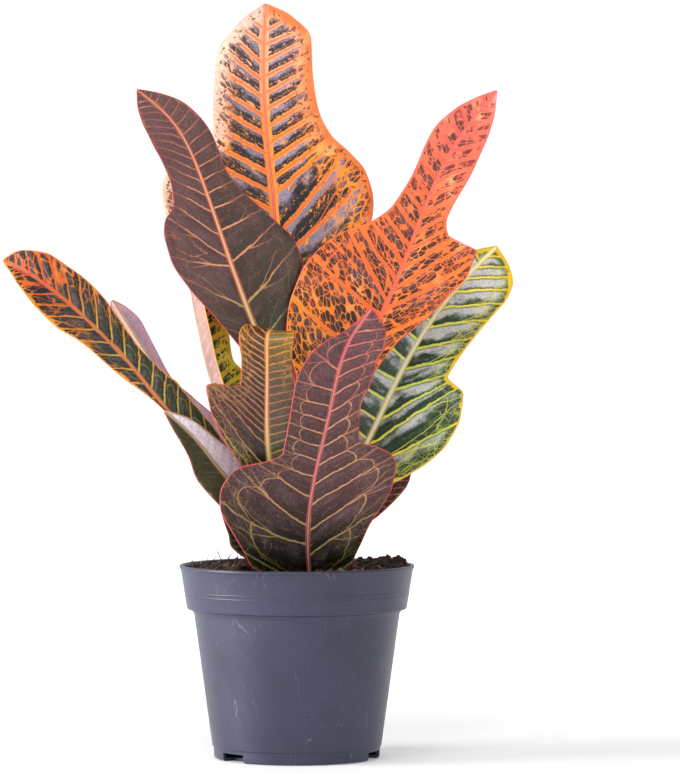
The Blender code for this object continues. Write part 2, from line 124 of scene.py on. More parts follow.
class Socket:
    """A number in a material's tree; arithmetic on it adds Math nodes."""

    def __init__(self, look, socket):
        self.look = look
        self.socket = socket

    def maths(self, operation, first, second=0.0):
        return self.look.node("ShaderNodeMath", {"operation": operation}, {0: first, 1: second})

    def __add__(self, other):
        return self.maths("ADD", self, other)

    def __radd__(self, other):
        return self.maths("ADD", other, self)

    def __sub__(self, other):
        return self.maths("SUBTRACT", self, other)

    def __rsub__(self, other):
        return self.maths("SUBTRACT", other, self)

    def __mul__(self, other):
        return self.maths("MULTIPLY", self, other)

    def __rmul__(self, other):
        return self.maths("MULTIPLY", other, self)

    def __truediv__(self, other):
        return self.maths("DIVIDE", self, other)

    def __abs__(self):
        return self.maths("ABSOLUTE", self)

    def __mod__(self, other):
        return self.maths("FLOORED_MODULO", self, other)

    def least(self, other):
        return self.maths("MINIMUM", self, other)

    def most(self, other):
        return self.maths("MAXIMUM", self, other)


class Look:
    """A procedural material under construction."""

    def __init__(self, name, roughness=0.5, coat=0.0):
        self.material = bpy.data.materials.new(name)
        self.material.use_nodes = True
        self.tree = self.material.node_tree
        self.shader = self.tree.nodes["Principled BSDF"]
        self.shader.inputs["Roughness"].default_value = roughness
        self.shader.inputs["Coat Weight"].default_value = coat
        self.shader.inputs["Coat Roughness"].default_value = 0.3

    def feed(self, socket, value):
        """Link a number of the tree to the socket, or set the socket's own value."""
        if isinstance(value, Socket):
            self.tree.links.new(value.socket, socket)
        elif isinstance(value, tuple) and len(value) == 3 and socket.type == "RGBA":
            socket.default_value = (*value, 1.0)
        else:
            socket.default_value = value

    def node(self, kind, settings=None, inputs=None, output=0):
        """Add a node: its settings first, then the values or links of its sockets."""
        made = self.tree.nodes.new(kind)
        for key, value in (settings or {}).items():
            setattr(made, key, value)
        for key, value in (inputs or {}).items():
            self.feed(made.inputs[key], value)
        return Socket(self, made.outputs[output])

    def split(self, vector):
        """The vector's three parts."""
        made = self.tree.nodes.new("ShaderNodeSeparateXYZ")
        self.feed(made.inputs[0], vector)
        return [Socket(self, output) for output in made.outputs]

    def join(self, x, y, z=0.0):
        """A vector of three numbers."""
        return self.node("ShaderNodeCombineXYZ", None, {0: x, 1: y, 2: z})

    def attribute(self, name):
        """A vector that is stored with the mesh's points."""
        return self.node("ShaderNodeAttribute", {"attribute_name": name}, None, "Vector")

    def place(self):
        """Object coordinates, in metres."""
        return self.node("ShaderNodeTexCoord", None, None, "Object")

    def noise(self, vector, scale, detail=2.0, roughness=0.5, distortion=0.0):
        """Smooth noise that varies about a half."""
        return self.node("ShaderNodeTexNoise", {"noise_dimensions": "3D"},
                         {"Vector": vector, "Scale": scale, "Detail": detail,
                          "Roughness": roughness, "Distortion": distortion})

    def cells(self, vector, scale, feature="F1", output=0):
        """Irregular cells: the distance to their centres or edges, or a colour for each."""
        return self.node("ShaderNodeTexVoronoi", {"feature": feature},
                         {"Vector": vector, "Scale": scale, "Randomness": 1.0}, output)

    def fade(self, value, start, end, low=0.0, high=1.0):
        """low where value is at start, high where it is at end, and smooth between them."""
        return self.node("ShaderNodeMapRange", {"interpolation_type": "SMOOTHSTEP"},
                         {0: value, 1: start, 2: end, 3: low, 4: high})

    def mix(self, first, second, share):
        """The first colour where share is 0, and the second where it is 1."""
        return self.node("ShaderNodeMix", {"data_type": "RGBA"}, {0: share, 6: first, 7: second}, 2)

    def bump(self, height, strength, distance):
        """Normals of a relief, whose full height is distance in metres."""
        return self.node("ShaderNodeBump", None,
                         {"Height": height, "Strength": strength, "Distance": distance})

    def finish(self, **sockets):
        """Feed the shader's sockets, named with _ for a space, and hand the material over."""
        for name, value in sockets.items():
            self.feed(self.shader.inputs[name.replace("_", " ")], value)
        return self.material


# ---------------------------------------------------------------------------------------
# Leaves
# ---------------------------------------------------------------------------------------

BLADE_ROWS = 190
STALK_ROWS = 14
HALF_COLUMNS = 34
VEIN_SWEEP = 0.45
SPINE_SAMPLES = 500
STALK_HALF_WIDTH = 1.6
LAMINA = 0.3
# Metres of unrolled blade that one unit of the leaf's own UV chart spans.
SCALE_OF_PATTERN = 0.1
# Added to the right half's vein numbers, so its noise differs from the left half's.
RIGHT_NUMBERS = 60
# Solving for the side vein through a point: rounds, the share of each step that is taken, the
# reach of a slope on either side, and how many veins the table is carried on by at its ends.
NEWTON_STEPS = 14
NEWTON_SHARE = 0.8
SLOPE_REACH = 0.25
VEINS_BEFORE = 8
VEINS_AFTER = 20

# Each leaf: its spine from the stem to the tip, the share of the spine that is bare stalk,
# half-widths (left and right) at shares of the blade, which way the upper face looks along
# the spine, and how far the left and the right half fold up from flat between the blade's
# base and its tip. Left and right are seen from above the upper face with the tip up.
LEAVES = {
    "leaf_top_back": dict(
        spine=[(0, 5, 183), (-4, 20, 206), (-9, 35, 235), (-12, 49, 277), (-16, 60, 318),
               (-18, 67, 350), (-17, 72, 389)],
        stalk=0.2,
        left=[(0, 2), (0.07, 36), (0.18, 57), (0.3, 58), (0.41, 50), (0.53, 29), (0.64, 27),
              (0.77, 25), (0.9, 14), (1, 0.5)],
        right=[(0, 2), (0.07, 32), (0.15, 49), (0.24, 52.5), (0.32, 50), (0.4, 43), (0.5, 33),
               (0.6, 28), (0.72, 26), (0.83, 25), (0.93, 14), (1, 0.5)],
        face=[(0, -1, 0.3), (0, -1, 0.2)],
        fold=[(10, 10), (8, 8), (8, 8)],
    ),
    "leaf_upper_left": dict(
        spine=[(-5, 3, 171), (-10, 7, 190), (-18, 14, 210), (-32, 21, 246), (-48, 25, 292),
               (-65, 22, 326), (-82, 16, 341)],
        stalk=0.12,
        left=[(0, 3), (0.1, 11), (0.2, 18), (0.29, 25.5), (0.37, 29.5), (0.44, 29), (0.5, 26),
              (0.56, 19), (0.65, 16), (0.76, 16), (0.86, 13.5), (0.94, 8), (1, 0.5)],
        right=[(0, 3), (0.07, 11), (0.13, 19), (0.175, 29), (0.23, 35.5), (0.3, 35), (0.37, 30.5),
               (0.46, 23.5), (0.55, 17), (0.63, 13.5), (0.73, 14), (0.83, 11.5), (0.91, 7), (1, 0.5)],
        face=[(0.1, -1, 0.1), (0.1, -1, 0)],
        fold=[(10, 2), (10, 5), (8, 8)],
    ),
    "leaf_upper_right": dict(
        spine=[(6, 0, 147), (13, 3, 162), (26, 7, 190), (44, 11, 227), (57, 13, 258),
               (74, 13, 300), (86, 10, 320), (102, 5, 340)],
        stalk=0.09,
        left=[(0, 3), (0.05, 26), (0.12, 42), (0.19, 46.5), (0.26, 47), (0.33, 44), (0.43, 35),
              (0.52, 22), (0.59, 15.5), (0.69, 12.5), (0.79, 14), (0.87, 11), (0.94, 6), (1, 0.5)],
        right=[(0, 3), (0.12, 8), (0.26, 14), (0.33, 23.5), (0.38, 29), (0.44, 35), (0.5, 35),
               (0.53, 26), (0.56, 17), (0.61, 13.5), (0.73, 15.5), (0.84, 13), (0.92, 8.5), (1, 0.5)],
        face=[(-0.12, -1, 0), (-0.05, -1, 0)],
        fold=[(4, 10), (6, 18), (10, 14)],
    ),
    "leaf_front": dict(
        spine=[(1, -7, 83), (6, -20, 86), (6, -27, 103), (9, -31, 143), (17, -30, 178),
               (27, -25, 213), (38, -21, 229)],
        stalk=0.09,
        left=[(0, 3), (0.02, 28), (0.06, 33), (0.09, 38), (0.13, 45), (0.17, 46), (0.21, 44),
              (0.26, 39.5), (0.31, 31), (0.35, 24), (0.4, 18.5), (0.53, 19.5), (0.62, 20),
              (0.7, 18), (0.79, 12), (0.87, 5), (0.94, 2), (1, 0.5)],
        right=[(0, 3), (0.02, 20.5), (0.06, 24.5), (0.1, 27.5), (0.16, 31), (0.235, 36.5), (0.3, 39.5),
               (0.37, 39.5), (0.42, 36), (0.46, 28), (0.49, 19), (0.52, 17), (0.61, 15),
               (0.7, 17.5), (0.84, 17.5), (0.925, 13), (0.965, 7), (1, 0.5)],
        face=[(0, -1, 0.3), (0, -1, 0), (0, -1, 0)],
        fold=[(5, 5), (8, 8), (8, 8)],
    ),
    "leaf_front_small": dict(
        spine=[(-3, -7, 124), (-10, -14, 137), (-14, -18, 154), (-15, -19, 183), (-15, -17, 206),
               (-14, -12, 217), (-11, -5, 217), (-8, -1, 209)],
        stalk=0.1,
        left=[(0, 3), (0.08, 10), (0.15, 16), (0.24, 24), (0.3, 28), (0.36, 30), (0.42, 31),
              (0.455, 27), (0.48, 18), (0.51, 13.5), (0.63, 13), (0.73, 14.5), (0.82, 12),
              (0.9, 8), (1, 0.5)],
        right=[(0, 3), (0.08, 10), (0.2, 20), (0.3, 25), (0.38, 26), (0.44, 20), (0.5, 14),
               (0.65, 13), (0.74, 14), (0.84, 12), (0.92, 8), (1, 0.5)],
        face=[(0, -1, 0.2), (0, -1, 0), (0, -1, 0), (0, -1, 0.3), (0, 0.6, 1)],
        fold=[(8, 8), (8, 8), (0, 0)],
    ),
    "leaf_left_long": dict(
        spine=[(-7, -2, 133), (-18, -4, 141), (-35, -6, 151), (-54, -9, 166), (-66, -11, 178),
               (-84, -13, 200), (-103, -14, 220), (-122, -14, 237), (-140, -12, 249), (-149, -10, 253)],
        stalk=0.12,
        left=[(0, 2), (0.15, 3.5), (0.3, 2.5), (0.38, 4), (0.45, 8), (0.53, 11.5), (0.62, 13),
              (0.7, 15.5), (0.78, 15), (0.88, 10.5), (0.95, 4.5), (1, 0.5)],
        right=[(0, 3), (0.1, 8), (0.16, 12), (0.25, 14.5), (0.31, 14.5), (0.37, 12), (0.45, 10.5),
               (0.56, 13), (0.65, 15.5), (0.75, 17), (0.84, 16.5), (0.9, 13), (0.955, 8), (1, 0.5)],
        face=[(0.44, -0.77, 0.46), (0.44, -0.77, 0.46)],
        fold=[(0, 12), (0, 12), (0, 12)],
    ),
    "leaf_left_low": dict(
        spine=[(-5, -6, 115), (-15, -8, 123), (-26, -11, 133), (-39, -13, 147), (-51, -14, 162),
               (-67, -14, 177)],
        stalk=0.14,
        left=[(0, 2), (0.2, 14), (0.4, 14), (0.6, 10), (0.8, 6), (1, 0.5)],
        right=[(0, 2), (0.2, 12), (0.4, 12), (0.6, 9), (0.8, 6), (1, 0.5)],
        face=[(0.2, -1, 0.3), (0.2, -1, 0.3)],
        fold=[(15, 15), (15, 15), (10, 10)],
    ),
    "leaf_left_behind": dict(
        spine=[(-5, 3, 141), (-24, 6, 146), (-45, 9, 162), (-62, 11, 182), (-78, 12, 206),
               (-95, 12, 233)],
        stalk=0.14,
        left=[(0, 2), (0.25, 12), (0.4, 9), (0.55, 5), (0.7, 7), (0.82, 8), (0.92, 5), (1, 0.5)],
        right=[(0, 2), (0.25, 12), (0.5, 7), (0.8, 8), (0.92, 5), (1, 0.5)],
        face=[(-0.3, 1, -0.2), (-0.3, 1, -0.2)],
        fold=[(10, 10), (10, 10), (10, 10)],
    ),
    "leaf_back_left": dict(
        spine=[(-4, 5, 148), (-22, 12, 158), (-38, 20, 178), (-44, 23, 192), (-50, 27, 215),
               (-55, 30, 240), (-57, 31, 255)],
        stalk=0.12,
        left=[(0, 2), (0.2, 8), (0.5, 8), (0.8, 7), (1, 0.5)],
        right=[(0, 3), (0.1, 14), (0.2, 20), (0.3, 20), (0.38, 16), (0.45, 13.5), (0.6, 15),
               (0.75, 15), (0.88, 9), (1, 0.5)],
        face=[(0.2, -1, 0), (0.2, -1, 0)],
        fold=[(100, 5), (125, 5), (125, 5)],
    ),
    "leaf_right": dict(
        spine=[(5, 4, 127), (17, 9, 133), (28, 15, 146), (39, 20, 166), (52, 25, 193),
               (69, 29, 222), (89, 30, 247), (103, 28, 261)],
        stalk=0.12,
        left=[(0, 3), (0.06, 25), (0.15, 33), (0.25, 34), (0.33, 30), (0.42, 22), (0.5, 17),
              (0.65, 17), (0.8, 14), (0.9, 8), (1, 0.5)],
        right=[(0, 3), (0.04, 22), (0.08, 29), (0.12, 34.5), (0.175, 38.5), (0.25, 39.5), (0.32, 37.5),
               (0.39, 34), (0.42, 28), (0.45, 23), (0.65, 24), (0.8, 24.5), (0.88, 21.5),
               (0.94, 14), (1, 0.5)],
        face=[(-0.05, -1, 0.1), (-0.1, -1, 0.1)],
        fold=[(10, 10), (10, 10), (10, 10)],
    ),
    "leaf_low_left": dict(
        spine=[(-4, -6, 100), (-14, -15, 106), (-24, -21, 114), (-33, -23, 128), (-37, -21, 139)],
        stalk=0.14,
        left=[(0, 2), (0.15, 9.5), (0.37, 11), (0.5, 8), (0.75, 5), (1, 0.5)],
        right=[(0, 2), (0.3, 9), (0.6, 8), (1, 0.5)],
        face=[(0, -1, 0.2), (0, -1, 0.2)],
        fold=[(15, 15), (15, 15), (10, 10)],
    ),
    "leaf_low_right": dict(
        spine=[(4, 5, 109), (17, 12, 113), (35, 22, 124), (50, 28, 140), (61, 30, 158)],
        stalk=0.14,
        left=[(0, 2), (0.3, 14), (0.5, 14), (0.8, 8), (1, 0.5)],
        right=[(0, 2), (0.3, 6), (0.5, 7), (0.65, 7.5), (0.8, 5), (1, 0.5)],
        face=[(0, -1, 0.2), (0, -1, 0.2)],
        fold=[(15, 15), (15, 15), (10, 10)],
    ),
    "leaf_back_right": dict(
        spine=[(4, 7, 158), (10, 20, 168), (20, 44, 194), (28, 64, 232), (32, 76, 266)],
        stalk=0.18,
        left=[(0, 3), (0.12, 16), (0.25, 24), (0.38, 21), (0.5, 14), (0.75, 13), (0.92, 6), (1, 0.5)],
        right=[(0, 3), (0.12, 17), (0.25, 23), (0.36, 22), (0.5, 14), (0.75, 12), (0.92, 6), (1, 0.5)],
        face=[(-0.3, -0.7, 1), (-0.3, -1, 0.4)],
        fold=[(15, 15), (12, 12), (10, 10)],
    ),
    "leaf_back_low": dict(
        spine=[(-2, 8, 116), (-6, 24, 122), (-12, 46, 142), (-16, 60, 167), (-17, 66, 189)],
        stalk=0.16,
        left=[(0, 3), (0.15, 13), (0.3, 17), (0.45, 13), (0.6, 11), (0.85, 7), (1, 0.5)],
        right=[(0, 3), (0.15, 12), (0.3, 16), (0.45, 14), (0.6, 11), (0.85, 7), (1, 0.5)],
        face=[(0.2, -0.6, 1), (0.2, -1, 0.3)],
        fold=[(15, 15), (12, 12), (10, 10)],
    ),
}


class Spine:
    """A leaf's spine with the sideways and the face direction at any distance along it."""

    def __init__(self, points, face):
        points = np.array(points, float)
        knots = np.concatenate([[0], np.cumsum(np.linalg.norm(np.diff(points, axis=0), axis=1))])
        places = evenly(SPINE_SAMPLES) * knots[-1]
        self.points = natural_spline(knots, points, places)
        steps = np.linalg.norm(np.diff(self.points, axis=0), axis=1)
        self.places = np.concatenate([[0], np.cumsum(steps)])
        self.length = self.places[-1]
        ahead = unit(np.gradient(self.points, self.places, axis=0))
        face = np.array(face, float)
        knots = evenly(len(face)) * self.length
        looks = np.stack([hermite(knots, face[:, k], self.places) for k in range(3)], axis=1)
        self.side = unit(np.cross(ahead, looks))
        self.face = np.cross(self.side, ahead)

    def read(self, table, places):
        """The vectors of a table that goes with the spine's places, read at other places."""
        return np.stack([np.interp(places, self.places, table[:, k]) for k in range(3)], axis=-1)


def margin_distance(along, out):
    """Distance of every point of a half blade from that half's margin, in the unrolled blade.

    The margin is the chain of segments through the last column; the distance is the least
    over all segments of the distance to the nearest point of the segment.
    """
    points = np.stack([along, out], axis=-1)
    starts, steps = points[:-1, -1], np.diff(points[:, -1], axis=0)
    gaps = points[:, :, None] - starts
    share = np.sum(gaps * steps, axis=-1) / (np.sum(steps ** 2, axis=-1) + 1e-9)
    nearest = gaps - np.clip(share, 0, 1)[..., None] * steps
    return np.min(np.linalg.norm(nearest, axis=-1), axis=-1)


def vein_numbers(along, wide, table, length, curl):
    """Number of the side vein through each point of one half, and the local gap between veins.

    The table gives for some veins the number, where it leaves the midrib as a share of the
    blade, and its lean. A vein that leaves at a0 runs through a = a0 + lean(a0) * b + curl * b * b,
    b being the distance from the midrib. Newton steps on a0 solve that for every point. The gap
    is the spacing on the midrib, widened where the veins spread and taken square to them.
    """
    number, share, lean = np.array(table, float).T
    place = share * length
    run = (place[-1] - place[-2]) / (number[-1] - number[-2])
    place = np.concatenate([[place[0] - VEINS_BEFORE * run], place, [place[-1] + VEINS_AFTER * run]])
    number = np.concatenate([[number[0] - VEINS_BEFORE], number, [number[-1] + VEINS_AFTER]])
    lean = np.concatenate([lean[:1], lean, lean[-1:]])
    foot = along.copy()

    def slope(values, places):
        ahead, behind = places + SLOPE_REACH, places - SLOPE_REACH
        return (hermite(place, values, ahead) - hermite(place, values, behind)) / (2 * SLOPE_REACH)

    for _ in range(NEWTON_STEPS):
        spread = 1 + slope(lean, foot) * wide
        miss = foot + hermite(place, lean, foot) * wide + curl * wide ** 2 - along
        foot = np.clip(foot - NEWTON_SHARE * miss / np.maximum(spread, 0.5), place[0], place[-1])
    rate = slope(number, foot)
    tilt = hermite(place, lean, foot) + 2 * curl * wide
    gap = np.maximum(spread, 0.3) / np.maximum(rate, 0.01) / np.sqrt(1 + tilt ** 2)
    return hermite(place, number, foot), np.clip(gap, 0.5, 40)


def leaf_points(leaf, style):
    """Rows of a leaf from stem to tip: its upper and lower points and what its looks read.

    At distance foot along the spine a row leaves the midrib and sweeps forward as it goes
    out, so a point is M(along) + side * level + face * lift with along = foot + sweep * |out|,
    level = |out| * cos(fold) and lift = |out| * sin(fold) - arch * |out| ** 2 + ripple.
    The stalk's rows are narrow and don't sweep; their section is half an ellipse each way.
    """
    spine = Spine(leaf["spine"], leaf["face"])
    start = leaf["stalk"] * spine.length
    shares = evenly(BLADE_ROWS) ** 1.12
    halves = [hermite(*np.array(leaf[half], float).T, shares) for half in ("left", "right")]
    halves = np.stack(halves, axis=1)
    stalk = evenly(STALK_ROWS + 1)[:-1]
    widening = STALK_HALF_WIDTH + (halves[0] - STALK_HALF_WIDTH) * (stalk ** 4)[:, None]
    halves = np.concatenate([widening, halves])
    foot = np.concatenate([stalk * start, start + shares * (spine.length - start)])
    blade = np.concatenate([stalk ** 4, np.ones(BLADE_ROWS)])
    share = np.clip((foot - start) / (spine.length - start), 0, 1)

    even = np.linspace(-1, 1, 2 * HALF_COLUMNS + 1)
    across = even - 0.11 * np.sin(math.tau * even)
    out = np.where(across < 0, halves[:, :1], halves[:, 1:]) * across
    wide = np.abs(out)
    along = np.minimum(foot[:, None] + blade[:, None] * VEIN_SWEEP * wide, spine.length)

    angles = np.radians(np.array(leaf["fold"], float))
    knots = evenly(len(angles))
    folds = np.stack([hermite(knots, angles[:, k], share) for k in (0, 1)], axis=1)
    fold = np.where(across < 0, folds[:, :1], folds[:, 1:]) * blade[:, None]

    edge = np.concatenate([margin_distance(along[:, :HALF_COLUMNS + 1][:, ::-1],
                                           out[:, :HALF_COLUMNS + 1][:, ::-1])[:, :0:-1],
                           margin_distance(along[:, HALF_COLUMNS:], out[:, HALF_COLUMNS:])], axis=1)
    length = spine.length - start
    number, gap = np.zeros_like(along), np.ones_like(along)
    for side, half in (("left", slice(0, HALF_COLUMNS + 1)), ("right", slice(HALF_COLUMNS + 1, None))):
        number[:, half], gap[:, half] = vein_numbers(along[:, half] - start, wide[:, half],
                                                     style[side], length, style["curl"])
    number = number + np.where(out > 0, RIGHT_NUMBERS, 0)
    side_share = np.clip(wide / (wide + edge + 0.01), 0, 1)

    ripple = style["ripple"] * side_share ** 2 * np.sin(along * 0.13 + 2 * np.sign(out) + style["seed"])
    panel = 0.5 - 0.5 * np.cos(math.tau * number)
    panel = panel * step(0.5, 4, wide) * step(0.3, 3, edge) * blade[:, None] * np.clip(gap / 6, 0.5, 1.8)
    lift = wide * np.sin(fold) - style["arch"] * wide ** 2 + ripple * blade[:, None]
    side = spine.read(spine.side, along)
    face = spine.read(spine.face, along)
    middle = (spine.read(spine.points, along) + side * (out * np.cos(fold))[..., None]
              + face * lift[..., None])
    normal = unit(face * np.cos(fold)[..., None] - side * (np.sign(across) * np.sin(fold))[..., None])

    stalky = 1 - step(0, 14, foot - start)[:, None]
    fade = 1 - 0.75 * share[:, None]
    round_edge = np.sqrt(np.clip(edge / 0.35, 0, 1))
    stalk_arc = np.sqrt(np.clip(1 - (wide / (STALK_HALF_WIDTH + 0.05)) ** 2, 0, 1))
    up = LAMINA * round_edge + style["bulge"] * panel + 0.3 * fade * np.exp(-(wide / 0.8) ** 2)
    keel = 1.7 * fade * np.exp(-(wide / (1.5 * fade + 0.2)) ** 2)
    down = LAMINA * round_edge - style["bulge"] * panel + keel * round_edge
    up = up * (1 - stalky) + (LAMINA * round_edge * blade[:, None] + 1.0 * stalk_arc) * stalky
    down = down * (1 - stalky) + (LAMINA * round_edge * blade[:, None] + 1.5 * stalk_arc) * stalky
    upper = middle + normal * up[..., None]
    lower = middle - normal * down[..., None]
    blade_place = np.stack([along - start, out, edge], axis=-1)
    vein_place = np.stack([number, side_share * np.sign(out), gap], axis=-1)
    return upper, lower, blade_place, vein_place


def make_leaf(name, leaf, style, upper_look, under_look):
    """One closed leaf: the upper sheet, the under sheet back, and both ends filled."""
    upper, lower, blade_place, vein_place = leaf_points(leaf, style)
    inner = slice(-2, 0, -1)
    rings = np.concatenate([upper, lower[:, inner]], axis=1)
    blade_place = np.concatenate([blade_place, blade_place[:, inner]], axis=1)
    vein_place = np.concatenate([vein_place, vein_place[:, inner]], axis=1)
    rows, around = rings.shape[:2]
    grid = np.arange(rows * around).reshape(rows, around)
    ahead = np.roll(grid, -1, axis=1)
    quads = np.stack([grid[:-1], grid[1:], ahead[1:], ahead[:-1]], axis=-1).reshape(-1, 4)
    faces = quads.tolist() + [grid[0].tolist(), grid[-1, ::-1].tolist()]
    mesh_data = bpy.data.meshes.new(name)
    mesh_data.from_pydata((rings.reshape(-1, 3) * MM).tolist(), [], faces)
    for label, values in (("blade", blade_place), ("vein", vein_place)):
        layer = mesh_data.attributes.new(label, "FLOAT_VECTOR", "POINT")
        layer.data.foreach_set("vector", values.reshape(-1).astype(np.float32))
    columns = 2 * HALF_COLUMNS
    under = np.tile(np.arange(around) >= columns, rows - 1).astype(np.int32)
    mesh_data.materials.append(upper_look)
    mesh_data.materials.append(under_look)
    mesh_data.polygons.foreach_set("material_index", np.concatenate([under, [1, 1]]).astype(np.int32))
    flat = blade_place.reshape(-1, 3)[:, :2] * MM / SCALE_OF_PATTERN
    corners = np.zeros(len(mesh_data.loops), np.int32)
    mesh_data.loops.foreach_get("vertex_index", corners)
    chart = mesh_data.uv_layers.new(name="unrolled")
    chart.data.foreach_set("uv", flat[corners].reshape(-1).astype(np.float32))
    mesh_data.shade_smooth()
    mesh_data.validate()
    piece = bpy.data.objects.new(name + "_visual", mesh_data)
    bpy.context.scene.collection.objects.link(piece)
    return piece


# Looks of each leaf, with lengths in millimetres and shares from 0 to 1. Where three colours are
# given they belong to the blade's base, middle and tip, and a pair of limits is where a fade
# starts and ends.
#   left, right: the side veins of each half as (number, share of the blade where it leaves the
#     midrib, lean). The veins between two listed ones are spaced evenly.
#   curl, ripple, arch, bulge: how the side veins bend, how high the margin waves, how each half
#     bends back and how far the panels between veins rise. seed shifts the noise of this leaf.
#   panel, inner, outer: how far the dark panels keep off a vein, the midrib and the margin.
#     breaks are the noise levels that break them up, and grain is that noise's scale.
#   flecks, threads: strength of small dark spots, and of fine ground-coloured lines in a panel.
#   mosaic: the size of the tiles that a panel is cut into, how much they stretch along the
#     veins, and the level below which they stay; None leaves the panels whole. mosaic_tip lets
#     fewer stay towards the tip, and mosaic_zone weighs nearness to the margin and to the tip
#     for where the tiles begin. mosaic_gap and mosaic_round are the limits of a tile's outline.
#   vein_width, vein_share, fade_out: half-width and strength of the side veins, and the shares of
#     the way to the margin between which they fade.
#   loop, loop_share: how far from the margin the side veins join up in arches, how round those
#     are, and their strength.
#   net_size, net_width, net_share, net_zone: cells of the fine net, its line, its strength and
#     the limits where it starts.
#   rib_width, border_width: the midrib and the band beside it, at the base and at the tip. core
#     is the strength of the pale line along the midrib.
#   painted_sheen_colour: a pale sheen painted on the panels, a painted highlight that stands in for their
#       gloss catching the light. painted_sheen_share is its strength, painted_sheen_base and
#       painted_sheen_tip add to it
#     everywhere and towards the tip, and painted_sheen_slant moves it to one side of a panel, painted lighter
#     on the side towards the tip as if lit from above.
#   wash: tints of the ground beside the margin, as (colour, side, start, end), with side -1 for
#     the left half and 1 for the right.
#   roughness, coat, gloss: of the upper face.
#   ground, dark, vein, net, rib, border, margin, speck: colours of the blade round the panels, the
#     panels, the side veins, the net, the midrib, its band, the margin and the small pale dots.
#     dark_right replaces dark on the right half.
#   under, under_vein, under_rib: the underside's two tones, its net and veins, and its midrib.
PURPLE_UNDER = ((124, 78, 92), (146, 98, 108))
GREEN_UNDER = ((146, 142, 112), (172, 162, 134))
PLAIN = dict(
    left=[(0, 0.02, 0.6), (16, 1, 0.8)], right=[(0, 0.02, 0.6), (16, 1, 0.8)],
    curl=0.003, ripple=0.9, seed=1.0, arch=0.0015, bulge=0.28,
    panel=(0.15, 0.6), inner=(0.8, 1.5), outer=(0.3, 0.9), breaks=(-1.0, 0.0), grain=(0.5, 0.15),
    flecks=0.0, threads=0.25,
    mosaic=None, mosaic_tip=0.0, mosaic_zone=(0, 0, -1, -0.5), mosaic_gap=(0.03, 0.1),
    mosaic_round=(0.7, 0.5),
    vein_width=0.3, vein_share=0.9, fade_out=(1.15, 0.75), loop=(3.5, 0.3), loop_share=0.6,
    net_size=3.4, net_width=0.045, net_share=0.4, net_zone=(0.35, 0.8),
    rib_width=(1.1, 0.5), border_width=(0.7, 0.3), core=0.3, margin_width=0.6, speck_share=0.3,
    painted_sheen_share=0.2, painted_sheen_base=0.0, painted_sheen_tip=0.0, painted_sheen_slant=0.2,
    roughness=0.4, coat=0.08, gloss=0.35,
    ground=((120, 110, 70), (150, 100, 80), (160, 90, 80)),
    dark=((58, 50, 44), (72, 56, 58), (80, 60, 62)),
    dark_right=None,
    vein=((225, 140, 90), (225, 140, 90), (225, 140, 90)),
    net=((190, 165, 110), (190, 165, 110), (190, 165, 110)),
    rib=((225, 110, 100), (215, 90, 105), (215, 90, 105)),
    border=((200, 110, 90), (200, 110, 90), (200, 110, 90)),
    margin=(215, 85, 95), speck=(215, 190, 150), painted_sheen_colour=(150, 140, 150), wash=(),
    under=((150, 118, 128), (172, 142, 148)),
    under_vein=(196, 160, 160), under_rib=(206, 172, 150),
)

